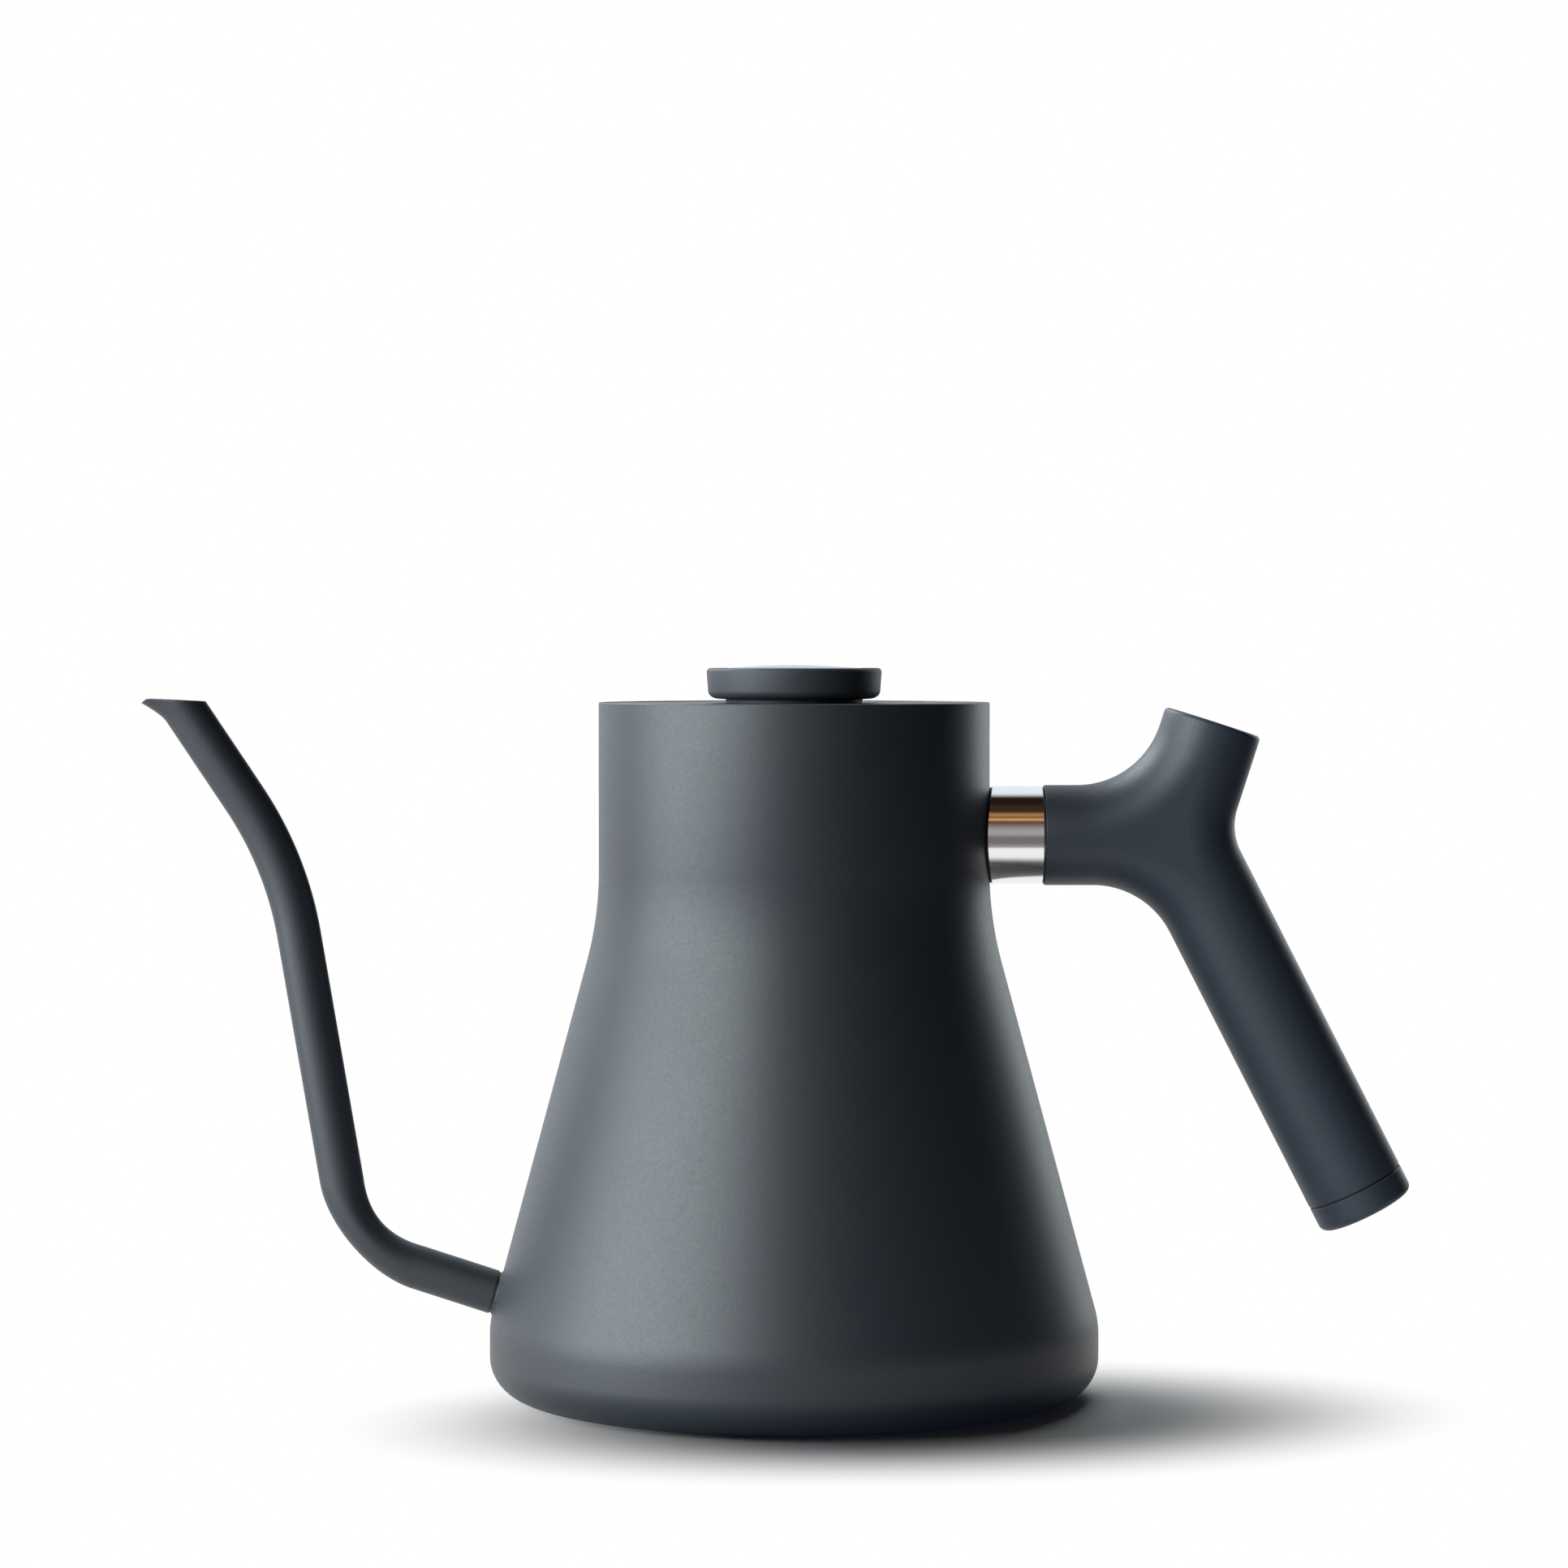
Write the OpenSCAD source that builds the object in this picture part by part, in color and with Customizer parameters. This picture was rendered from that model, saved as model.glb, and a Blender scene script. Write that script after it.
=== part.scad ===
// Gooseneck pour-over kettle with a thermometer lid and a weighted fork handle.
// The kettle stands on Z = 0 with its own axis on Z, its spout to -X and its handle to +X.
// Lengths are millimetres and angles are degrees.

/* [Body] */
// Widest outside diameter of the body
body_d = 140.4; // [128:0.2:156]
// Outside diameter of the straight neck
neck_d = 90; // [84:0.5:98]
// Height of the rim above the surface the kettle stands on
body_h = 160; // [154:0.5:172]
// Height at which the cone would meet the neck if it were not blended
cone_top_z = 110.7; // [104:0.1:114]
// Height at which the cone would meet the widest band
cone_foot_z = 17.4; // [15:0.1:20]
// Radius of the blend between the neck and the cone
neck_blend_r = 81.5; // [60:0.5:90]
// Radius of the blend between the cone and the widest band
belly_blend_r = 21.7; // [10:0.1:30]
// Radius of the blend between the widest band and the underside
base_blend_r = 9.2; // [7:0.1:11]
// Thickness of the drawn steel wall
body_wall = 0.8; // [0.6:0.05:1.2]

/* [Base] */
// How far the edge of the flat cap below lies inside the widest outside
base_inset = 11.4; // [11.2:0.2:20]
// Thickness of the steel cap
base_cap_t = 0.6; // [0.4:0.05:1]
// Thickness of the aluminium core that spreads the heat
base_core_t = 3; // [2:0.1:5]
// Thickness of the steel floor that holds the water
floor_t = 0.8; // [0.6:0.05:1.2]
// How far the cap stands below the body's own underside
base_proud = 0.3; // [0.2:0.05:0.8]

/* [Spout] */
// Outside diameter of the spout tube
spout_d = 10.1; // [9:0.1:12]
// Wall thickness of the spout tube
spout_wall = 0.8; // [0.6:0.05:1]
// Height at which the tube's axis crosses the cone
spout_root_z = 23.5; // [22:0.1:32]
// Angle of the root run above the horizontal
root_angle = 18; // [10:0.5:26]
// Length of the root run from the body to the first corner
root_run = 35; // [32:0.5:44]
// Angle of the long middle run from the vertical
neck_lean = 9.7; // [6:0.1:14]
// Length of the middle run from corner to corner
middle_run = 90.4; // [84:0.2:92]
// Angle of the top run from the vertical
tip_lean = 33.7; // [28:0.1:38]
// Bend radius of the tube's axis at the root
root_bend_r = 25.6; // [18:0.2:30]
// Bend radius of the tube's axis below the tip
top_bend_r = 81; // [50:1:95]
// Height of the cut at the mouth of the spout
tip_z = 160.5; // [156:0.1:166]
// Slope of that cut, higher towards the beak
tip_slope = 2.5; // [0:0.5:5]
// How far the pouring beak reaches in front of the tube
beak_reach = 2.5; // [1.5:0.1:4]
// How far below the cut the beak begins
beak_drop = 3.4; // [2.5:0.1:5]
// Radius of the beak's rounded lip, seen from above
beak_tip_r = 1.5; // [1.2:0.1:2.5]
// Thickness of that lip below the cut
beak_lip_t = 0.6; // [0.4:0.1:1.2]

/* [Lid] */
// Gap between the lid plate and the inside of the neck
lid_gap = 0.5; // [0.35:0.05:1]
// Thickness of the lid plate
lid_plate_t = 1.2; // [0.8:0.1:2]
// How far the lid plate lies below the rim
lid_recess = 0.2; // [0:0.1:1]
// Depth of the steel cup under the lid plate
liner_depth = 11.5; // [11:0.1:16]
// Wall thickness of that cup
liner_wall = 0.6; // [0.5:0.05:1]
// Radial gap between the neck and that cup
liner_gap = 2.8; // [2.6:0.1:3.6]
// Depth of the seat ring's ledge below the rim
seat_depth = 10.6; // [9:0.1:10.8]
// Height of the seat ring
seat_t = 2; // [1.5:0.1:3]
// Radial width of the seat ring
seat_w = 1.75; // [1.5:0.05:2]
// Height of the silicone gasket
gasket_h = 3.4; // [2.5:0.1:4]
// Height of each of the gasket's two fins
gasket_fin_h = 0.9; // [0.6:0.1:1.2]
// Depth of the groove between them
gasket_groove = 0.8; // [0.4:0.1:1.2]
// Height of the beads that hold the gasket on the cup
bead_h = 0.8; // [0.6:0.1:1]
// How far the upper bead stops short of the gasket's edge
bead_short = 0.6; // [0.4:0.1:1]
// Diameter of the steam vent
vent_d = 3.2; // [2.5:0.1:5]
// Distance of the steam vent from the lid's centre
vent_at = 31; // [27:0.5:34]

/* [Thermometer knob] */
// Diameter at the top edge of the knob
knob_d = 40.3; // [38:0.1:44]
// Inward taper of the knob's side, on the radius
knob_taper = 0.4; // [0:0.1:1]
// Height of the knob's side
knob_h = 7.1; // [6.6:0.1:9]
// Radius of the knob's top edge
knob_edge_r = 0.9; // [0.5:0.1:1.2]
// Height of the flared foot that holds the knob above the lid
knob_foot_h = 1; // [0.6:0.1:2]
// Diameter at the top of that foot
foot_top_d = 34.2; // [30:0.1:36]
// Diameter at the bottom of that foot
foot_base_d = 31.4; // [28:0.1:33]
// Thickness of the knob's side wall
knob_wall = 1.6; // [1.2:0.1:2]
// Thickness of the knob's floor
knob_floor = 1.6; // [1.2:0.1:2]
// Thickness of the printed dial
dial_t = 0.4; // [0.3:0.05:0.6]
// Height of the spacer ring between the dial and the glass
spacer_h = 2.8; // [2.6:0.1:3.2]
// Radial width of the spacer ring
spacer_w = 1.2; // [1:0.1:2]
// Thickness of the glass at its edge
lens_t = 1; // [0.8:0.1:1.4]
// How far the edge of the glass lies below the knob's top
lens_recess = 0.3; // [0.1:0.1:0.6]
// Width of the ledge that carries the glass
lens_ledge = 0.5; // [0.3:0.1:0.8]
// How far the glass domes up at its centre
lens_dome = 1; // [0.4:0.1:1.6]
// Length of the needle from the centre to its point
needle_len = 14; // [10:0.5:15]
// Width of the needle at its tail
needle_w = 2; // [1.4:0.1:3]
// Thickness of the needle
needle_t = 0.4; // [0.3:0.05:0.6]
// Gap between the dial and the needle
needle_gap = 0.6; // [0.4:0.1:1]
// Diameter of the needle's hub
hub_d = 4.4; // [3.6:0.1:6]
// Diameter of the turning spindle
spindle_d = 1.2; // [1:0.05:1.4]

/* [Probe] */
// Outside diameter of the probe tube
probe_d = 5; // [4.8:0.1:6]
// Wall thickness of the probe tube
probe_wall = 0.5; // [0.4:0.05:0.6]
// Length of the probe below the lid cup
probe_len = 82; // [60:1:90]
// Diameter of the threaded stem that passes through the lid
stem_d = 8; // [7.4:0.1:10]
// Width across the flats of the clamping nut
nut_af = 13; // [12:0.5:16]
// Height of the clamping nut
nut_h = 4; // [3:0.5:6]
// How far the stem reaches below the nut
stem_past = 1; // [0.5:0.5:3]
// Radial gap between the probe's flange and the knob's wall
flange_gap = 1; // [0.3:0.1:3]
// Thickness of the sealing washer above the nut
washer_t = 1; // [0.6:0.1:1.5]
// Number of turns of the bimetal coil
coil_turns = 9; // [5:1:12]
// Length of the bimetal coil
coil_len = 26; // [18:1:32]
// Thickness of the coil's strip
strip_t = 0.4; // [0.2:0.05:0.5]
// Width of the coil's strip
strip_w = 1; // [0.6:0.1:1.4]
// Gap between the coil and the probe's wall
coil_gap = 0.35; // [0.2:0.05:0.6]
// Height of the coil's foot above the probe's tip
coil_start = 3; // [2.5:0.5:6]

/* [Handle] */
// Height of the handle arm's axis
arm_z = 129.4; // [124:0.2:134]
// Outside diameter of the arm
arm_d = 23.1; // [22:0.1:26]
// Outside diameter of the thumb horn
horn_d = 22.9; // [22:0.1:26]
// Outside diameter of the leg that is gripped
leg_d = 23; // [22:0.1:26]
// Distance from the neck to the point where arm, horn and leg meet
arm_reach = 43.1; // [40:0.1:52]
// Angle of the thumb horn from the vertical
horn_lean = 17.8; // [10:0.2:24]
// Length of the thumb horn from the meeting point to its top face
horn_len = 27.4; // [26:0.2:34]
// Angle of the leg from the vertical
leg_lean = 27; // [18:0.5:34]
// Length of the leg from the meeting point to the end cap's seam
leg_len = 90.7; // [88:0.5:104]
// Inside radius of the blend between the arm and the horn
top_crotch_r = 20; // [12:0.5:22]
// Inside radius of the blend between the arm and the leg
low_crotch_r = 20; // [12:0.5:24]
// Inside radius of the blend between the horn and the leg
back_crotch_r = 13; // [8:0.5:20]
// Radius of the edge round the horn's top face
horn_edge_r = 1; // [0.5:0.1:2]
// Outside diameter of the polished collar
collar_d = 22.6; // [21.6:0.1:23]
// Length of the polished collar
collar_len = 12.2; // [10:0.1:15]
// Thickness of the black washer at each end of the collar
collar_washer_t = 0.5; // [0.3:0.05:0.8]
// How far the washers' edges lie inside the collar's surface
collar_washer_inset = 0.35; // [0.2:0.05:0.8]
// Diameter of the boss welded to the neck
boss_d = 18; // [16:0.2:19]
// How far the boss reaches into the grip
boss_past = 2; // [1:0.5:5]
// Diameter of the tang that carries the grip
tang_d = 9; // [8:0.2:10]
// How far the tang reaches past the meeting point
tang_past = 5; // [4:0.5:7]
// Length of the end cap beyond its seam
end_cap_len = 6.6; // [5:0.1:9]
// Radius of the end cap's outer edge
end_cap_edge_r = 1.8; // [1:0.1:2.5]
// Thickness of the seal in the end cap's seam
cap_seal_t = 0.4; // [0.3:0.05:0.6]
// Diameter of the counterweight in the leg
weight_d = 14; // [12:0.2:15]
// Length of the counterweight
weight_len = 58; // [40:1:60]
// Length of the end cap's plug
cap_plug_len = 6; // [4:0.5:8]

/* [Clamp screw] */
// Thread diameter of the clamp screw
screw_d = 4; // [3:0.5:4.5]
// Diameter of the screw's head
screw_head_d = 7; // [6:0.1:7.4]
// Height of the screw's head
screw_head_h = 4; // [3:0.1:5]
// Width across the flats of the hexagon socket
socket_af = 3; // [2:0.5:3.5]
// Diameter of the plug that hides the screw
horn_plug_d = 12; // [11:0.1:14]
// Thickness of that plug
horn_plug_t = 2.4; // [2:0.1:4]

/* [Fits] */
// Gap between pieces that are pushed or screwed together
fit_gap = 0.1; // [0.05:0.05:0.15]
// Radial gap between bodies that move past each other
run_gap = 0.3; // [0.25:0.05:0.5]
// Radial clearance of the spindle in its guide
spindle_clear = 0.05; // [0.02:0.01:0.1]

/* [Hidden] */
$fn = 96;
eps = 0.01;
// How far a cut runs past the face it opens
cut_over = 1;
arc_steps = 10;
hull_fn = 32;

// Body of revolution
body_r = body_d / 2;
neck_r = neck_d / 2;
cone_a = atan((body_r - neck_r) / (cone_top_z - cone_foot_z));
neck_blend_z = cone_top_z + neck_blend_r * tan(cone_a / 2);
belly_blend_z = cone_foot_z - belly_blend_r * tan(cone_a / 2);
neck_in_r = neck_r - body_wall;
underside_z = base_proud;
base_cap_r = body_r - base_inset;
floor_z = base_cap_t + base_core_t;
// Radius of the wall's inner face where the floor's lower edge meets the base blend
floor_drop = underside_z + base_blend_r - floor_z;
floor_r = body_r - base_blend_r + sqrt(pow(base_blend_r - body_wall, 2) - pow(floor_drop, 2));

// Spout, drawn with its outward direction along +X and turned to -X afterwards
spout_r = spout_d / 2;
spout_bore_r = spout_r - spout_wall;
middle_a = 90 - neck_lean;
tip_a = 90 - tip_lean;
spout_root = [body_r - (spout_root_z - cone_foot_z) * tan(cone_a), spout_root_z];
corner_1 = spout_root + root_run * dir(root_angle);
corner_2 = corner_1 + middle_run * dir(middle_a);
root_cut = root_bend_r * tan((middle_a - root_angle) / 2);
top_cut = top_bend_r * tan((middle_a - tip_a) / 2);
beak_z = tip_z - beak_drop;
// The tube thins a little in its bends, and its straight runs lap into them
bend_slim = 0.03;
bend_lap = 0.4;
beak_slim = 0.06;
slice_t = 0.1;

// Lid, from the rim down
lid_top_z = body_h - lid_recess;
lid_under_z = lid_top_z - lid_plate_t;
lid_r = neck_in_r - lid_gap;
liner_r = neck_in_r - liner_gap;
liner_base_z = lid_under_z - liner_depth;
seat_z = body_h - seat_depth;
seat_in_r = neck_in_r - seat_w;
gasket_z = seat_z + fit_gap;
gasket_top_z = gasket_z + gasket_h;
gasket_in_r = liner_r + run_gap;
gasket_out_r = neck_in_r - run_gap;
low_bead_r = seat_in_r - run_gap;
top_bead_r = gasket_out_r - bead_short;

// Knob and thermometer, from the lid plate up
foot_z = lid_top_z;
knob_z = foot_z + knob_foot_h;
knob_top_z = knob_z + knob_h;
knob_r = knob_d / 2;
case_floor_z = foot_z + knob_floor;
cavity_r = knob_r - knob_taper - knob_wall;
lens_seat_r = cavity_r + lens_ledge;
lens_z = knob_top_z - lens_t - lens_recess;
spacer_z = lens_z - fit_gap - spacer_h;
dial_z = spacer_z - dial_t;
needle_z = dial_z + dial_t + needle_gap;
flange_t = dial_z - fit_gap - case_floor_z;
stem_r = stem_d / 2;
probe_r = probe_d / 2;
probe_in_r = probe_r - probe_wall;
probe_tip_z = liner_base_z - probe_len;
washer_z = liner_base_z - fit_gap - washer_t;
nut_z = washer_z - nut_h;
spindle_r = spindle_d / 2;
guide_r = spindle_r + spindle_clear;
pivot_r = spindle_r / 2;
// Angle of the resting needle, at the cold end of the scale
rest_angle = 225;
coil_z = probe_tip_z + coil_start;
coil_r = probe_in_r - coil_gap;

// Handle, with the arm along +X
arm_r = arm_d / 2;
horn_r = horn_d / 2;
leg_r = leg_d / 2;
fork = [neck_r + arm_reach, arm_z];
horn_a = 90 - horn_lean;
leg_a = leg_lean - 90;
collar_x = neck_r + collar_washer_t;
collar_end_x = collar_x + collar_len;
grip_x = collar_end_x + collar_washer_t;
collar_r = collar_d / 2;
boss_r = boss_d / 2;
tang_r = tang_d / 2;
boss_end_x = grip_x + boss_past;
weight_r = weight_d / 2;
blend_shrink = 0.12;
screw_r = screw_d / 2;
screw_head_r = screw_head_d / 2;
horn_plug_r = horn_plug_d / 2;
screw_head_at = horn_len - horn_plug_t - fit_gap - screw_head_h;

coat = "#3c4146";
steel = "#b9bbbd";
polished = "#d8d9da";
plastic = "#2f343a";
silicone = "#26282b";

// ---- helpers ----

// Unit vector at angle a in the X-Z plane
function dir(a) = [cos(a), sin(a)];

// Points along an arc in the X-Z plane
function arc(centre, r, a0, a1, n = arc_steps) =
    [for (i = [0:n]) centre + r * dir(a0 + (a1 - a0) * i / n)];

function reversed(list) = [for (i = [len(list) - 1:-1:0]) list[i]];

// The body's wall from rim to underside, moved inwards by t
function wall_path(t, top = body_h) = concat(
    [[neck_r - t, top]],
    arc([neck_r + neck_blend_r, neck_blend_z], neck_blend_r + t, 180, 180 + cone_a),
    arc([body_r - belly_blend_r, belly_blend_z], belly_blend_r - t, cone_a, 0),
    arc([body_r - base_blend_r, underside_z + base_blend_r], base_blend_r - t, 0, -90)
);

// A solid of revolution inside the wall path that is moved inwards by t
module body_solid(t, top = body_h) {
    path = wall_path(t, top);
    rotate_extrude() polygon(concat([[0, top]], path, [[0, path[len(path) - 1][1]]]));
}

// Places local Z along angle a of the X-Z plane, starting at point p
module along(p, a) {
    translate([p[0], 0, p[1]]) rotate([0, 90 - a, 0]) children();
}

// Sweeps a 2-D section round centre c from angle a0 through turn, at radius r
module bend(c, r, a0, turn) {
    translate([c[0], 0, c[1]]) rotate([90, 0, 0]) rotate([0, 0, a0])
        rotate_extrude(angle = turn) translate([r, 0]) children();
}

module ring(outer, inner, h) {
    difference() {
        cylinder(r = outer, h = h);
        translate([0, 0, -cut_over]) cylinder(r = inner, h = h + 2 * cut_over);
    }
}

// ---- body ----

module body_shell() {
    outer = wall_path(0);
    inner = wall_path(body_wall);
    lip_r = base_cap_r + fit_gap;
    color(coat) difference() {
        rotate_extrude() polygon(concat(
            outer, [[lip_r, underside_z], [lip_r, underside_z + body_wall]], reversed(inner)));
        rotate([0, 0, 180]) along(spout_root, root_angle)
            translate([0, 0, -spout_d]) cylinder(r = spout_r + fit_gap / 2, h = 2 * spout_d);
    }
}

module seat_ring() {
    color(steel) translate([0, 0, seat_z - seat_t])
        ring(neck_in_r - fit_gap / 2, seat_in_r, seat_t);
}

module body_floor() {
    color(steel) translate([0, 0, floor_z]) cylinder(r = floor_r - fit_gap, h = floor_t);
}

module base_core() {
    color("#c9cacb") translate([0, 0, base_cap_t])
        cylinder(r = base_cap_r - body_wall, h = base_core_t);
}

module base_cap() {
    color(steel) cylinder(r = base_cap_r, h = base_cap_t);
}

// ---- spout ----

// The tube's wall, thinned by slim on both faces
module spout_section(slim = 0) {
    difference() {
        circle(r = spout_r - slim);
        circle(r = spout_bore_r + slim);
    }
}

// A straight run that laps past both of its ends
module spout_run(start, a, length) {
    along(start - bend_lap * dir(a), a) linear_extrude(length + 2 * bend_lap) spout_section();
}

// X of the tube's axis in the top run at height z
function tip_axis_x(z) = corner_2[0] + (z - corner_2[1]) * tan(tip_lean);

// A level slice of the leaning tube at height z, for hulls
module tip_slice(z, r) {
    translate([tip_axis_x(z), 0, z]) scale([1 / cos(tip_lean), 1, 1])
        cylinder(r = r, h = slice_t, $fn = hull_fn);
}

module beak_hull(r, tip_r, low_z) {
    lip_x = tip_axis_x(tip_z) + spout_r / cos(tip_lean) + beak_reach - beak_tip_r;
    hull() {
        tip_slice(low_z, r);
        tip_slice(tip_z + cut_over, r);
        translate([lip_x, 0, tip_z - beak_lip_t])
            cylinder(r = tip_r, h = beak_lip_t + cut_over, $fn = hull_fn);
    }
}

// Cuts away what lies above the sloped mouth
module mouth_cut() {
    reach = 2 * spout_d;
    translate([tip_axis_x(tip_z), 0, tip_z]) rotate([0, -tip_slope, 0])
        translate([-reach, -reach, 0]) cube([2 * reach, 2 * reach, reach]);
}

module spout_tube() {
    inside = 3 * body_wall;
    start_1 = spout_root - inside * dir(root_angle);
    end_1 = corner_1 - root_cut * dir(root_angle);
    start_2 = corner_1 + root_cut * dir(middle_a);
    end_2 = corner_2 - top_cut * dir(middle_a);
    start_3 = corner_2 + top_cut * dir(tip_a);
    centre_1 = end_1 + root_bend_r * dir(root_angle + 90);
    centre_2 = end_2 - top_bend_r * dir(middle_a + 90);
    color(coat) rotate([0, 0, 180]) {
        difference() {
            union() {
                spout_run(start_1, root_angle, root_run - root_cut + inside);
                bend(centre_1, root_bend_r, root_angle - 90, middle_a - root_angle)
                    spout_section(bend_slim);
                spout_run(start_2, middle_a, middle_run - root_cut - top_cut);
                bend(centre_2, top_bend_r, tip_a + 90, middle_a - tip_a)
                    spout_section(bend_slim);
                spout_run(start_3, tip_a, 2 * (tip_z - start_3[1]));
            }
            body_solid(body_wall);
            translate([0, -spout_d, beak_z]) cube([3 * body_r, 2 * spout_d, body_h]);
        }
        difference() {
            beak_hull(spout_r - beak_slim, beak_tip_r, beak_z);
            translate([0, 0, -slice_t / 2])
                beak_hull(spout_bore_r + beak_slim, beak_tip_r - spout_wall / 2, beak_z);
            mouth_cut();
        }
    }
}

// ---- lid ----

module vent_cut() {
    translate([0, -vent_at, liner_base_z - cut_over])
        cylinder(d = vent_d, h = liner_depth + lid_plate_t + 2 * cut_over);
}

module stem_cut() {
    translate([0, 0, liner_base_z - cut_over])
        cylinder(r = stem_r + fit_gap, h = liner_depth + lid_plate_t + 2 * cut_over);
}

module lid_plate() {
    color(coat) difference() {
        translate([0, 0, lid_under_z]) cylinder(r = lid_r, h = lid_plate_t);
        stem_cut();
        vent_cut();
    }
}

module lid_liner() {
    top = lid_under_z;
    color(steel) difference() {
        rotate_extrude() polygon([
            [0, liner_base_z], [liner_r, liner_base_z],
            [liner_r, gasket_z - fit_gap - bead_h], [low_bead_r, gasket_z - fit_gap - bead_h],
            [low_bead_r, gasket_z - fit_gap], [liner_r, gasket_z - fit_gap],
            [liner_r, gasket_top_z + fit_gap], [top_bead_r, gasket_top_z + fit_gap],
            [top_bead_r, gasket_top_z + fit_gap + bead_h], [liner_r, gasket_top_z + fit_gap + bead_h],
            [liner_r, top - liner_wall], [top_bead_r, top - liner_wall],
            [top_bead_r, top], [liner_r - liner_wall, top],
            [liner_r - liner_wall, liner_base_z + liner_wall], [0, liner_base_z + liner_wall]
        ]);
        stem_cut();
        vent_cut();
    }
}

module lid_gasket() {
    core_r = gasket_out_r - gasket_groove;
    color(silicone) rotate_extrude() polygon([
        [gasket_in_r, gasket_z], [gasket_out_r, gasket_z],
        [gasket_out_r, gasket_z + gasket_fin_h / 2], [core_r, gasket_z + gasket_fin_h],
        [core_r, gasket_top_z - gasket_fin_h], [gasket_out_r, gasket_top_z - gasket_fin_h / 2],
        [gasket_out_r, gasket_top_z], [gasket_in_r, gasket_top_z]
    ]);
}

// ---- thermometer knob ----

module knob_case() {
    edge = knob_edge_r;
    low_r = knob_r - knob_taper;
    color(coat) difference() {
        rotate_extrude() polygon(concat(
            [[0, foot_z], [foot_base_d / 2, foot_z], [foot_top_d / 2, knob_z]],
            arc([low_r - edge / 2, knob_z + edge / 2], edge / 2, -90, 0, 4),
            arc([knob_r - edge, knob_top_z - edge], edge, 0, 90, 6),
            [[0, knob_top_z]]));
        translate([0, 0, case_floor_z]) cylinder(r = cavity_r, h = knob_h);
        translate([0, 0, lens_z - fit_gap]) cylinder(r = lens_seat_r, h = knob_h);
        translate([0, 0, foot_z - cut_over]) cylinder(r = stem_r + fit_gap, h = knob_h);
    }
}

module dial_face() {
    color("#17191b") translate([0, 0, dial_z]) ring(cavity_r - fit_gap, spindle_r + run_gap, dial_t);
}

module dial_spacer() {
    color(steel) translate([0, 0, dial_z + dial_t])
        ring(cavity_r - fit_gap, cavity_r - spacer_w, spacer_h);
}

module dial_lens() {
    lens_r = lens_seat_r - fit_gap;
    dome_r = (pow(lens_r, 2) + pow(lens_dome, 2)) / (2 * lens_dome);
    dome_centre = [0, lens_z + lens_t + lens_dome - dome_r];
    color([0.8, 0.85, 0.88, 0.4]) rotate_extrude() polygon(concat(
        [[0, lens_z], [lens_r, lens_z]], arc(dome_centre, dome_r, 90 - asin(lens_r / dome_r), 90)));
}

module needle() {
    color("#d9572b") translate([0, 0, needle_z]) linear_extrude(needle_t) difference() {
        union() {
            circle(d = hub_d);
            rotate(rest_angle) polygon([
                [-needle_len / 4, -needle_w / 2], [needle_len, -needle_w / 8],
                [needle_len, needle_w / 8], [-needle_len / 4, needle_w / 2]
            ]);
        }
        circle(r = pivot_r + spindle_clear);
    }
}

module spindle() {
    color(steel) {
        translate([0, 0, coil_z]) cylinder(r = spindle_r, h = needle_z - coil_z);
        translate([0, 0, needle_z - eps]) cylinder(r = pivot_r, h = needle_t + 2 * eps);
        translate([0, 0, needle_z + needle_t]) cylinder(r = 2 * spindle_r, h = needle_t);
    }
}

module bimetal_coil() {
    color("#a8875a") translate([0, 0, coil_z]) linear_extrude(
            coil_len, twist = -360 * coil_turns, slices = 16 * coil_turns, $fn = 4)
        translate([coil_r - strip_t, -strip_w / 2]) square([strip_t, strip_w]);
}

// Threaded stem with a flange above and the closed probe below
module probe_tube() {
    stem_end_z = nut_z - stem_past;
    bore_z = probe_tip_z + probe_r;
    flange_r = cavity_r - flange_gap;
    color(steel) rotate_extrude() polygon(concat(
        arc([0, bore_z], probe_r, -90, 0),
        [[probe_r, stem_end_z], [stem_r, stem_end_z], [stem_r, case_floor_z],
         [flange_r, case_floor_z], [flange_r, case_floor_z + flange_t],
         [guide_r, case_floor_z + flange_t], [guide_r, liner_base_z],
         [probe_in_r, liner_base_z], [probe_in_r, bore_z], [0, bore_z]]));
}

module probe_washer() {
    color(silicone) translate([0, 0, washer_z]) ring(nut_af / 2, stem_r + fit_gap, washer_t);
}

module probe_nut() {
    color(steel) translate([0, 0, nut_z]) difference() {
        cylinder(d = nut_af / cos(30), h = nut_h, $fn = 6);
        translate([0, 0, -cut_over]) cylinder(r = stem_r + fit_gap / 2, h = nut_h + 2 * cut_over);
    }
}

// ---- handle ----

module handle_bracket() {
    color(steel) difference() {
        union() {
            along([neck_r - boss_r, arm_z], 0) cylinder(r = boss_r, h = boss_end_x - neck_r + boss_r);
            along([neck_r, arm_z], 0) cylinder(r = tang_r, h = arm_reach + tang_past);
        }
        body_solid(-eps, body_h + cut_over);
        along(fork, horn_a) translate([0, 0, -tang_d]) cylinder(r = screw_r + fit_gap, h = 2 * tang_d);
    }
}

module sleeve(x0, x1, r, gap) {
    inner_r = boss_r + fit_gap;
    difference() {
        along([x0, arm_z], 0) cylinder(r = r, h = x1 - x0);
        along([x0 - cut_over, arm_z], 0) cylinder(r = inner_r, h = x1 - x0 + 2 * cut_over);
        body_solid(-gap, body_h + cut_over);
    }
}

module handle_collar() {
    color(polished)
        sleeve(neck_r - collar_r, collar_end_x, collar_r, collar_washer_t);
}

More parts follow.
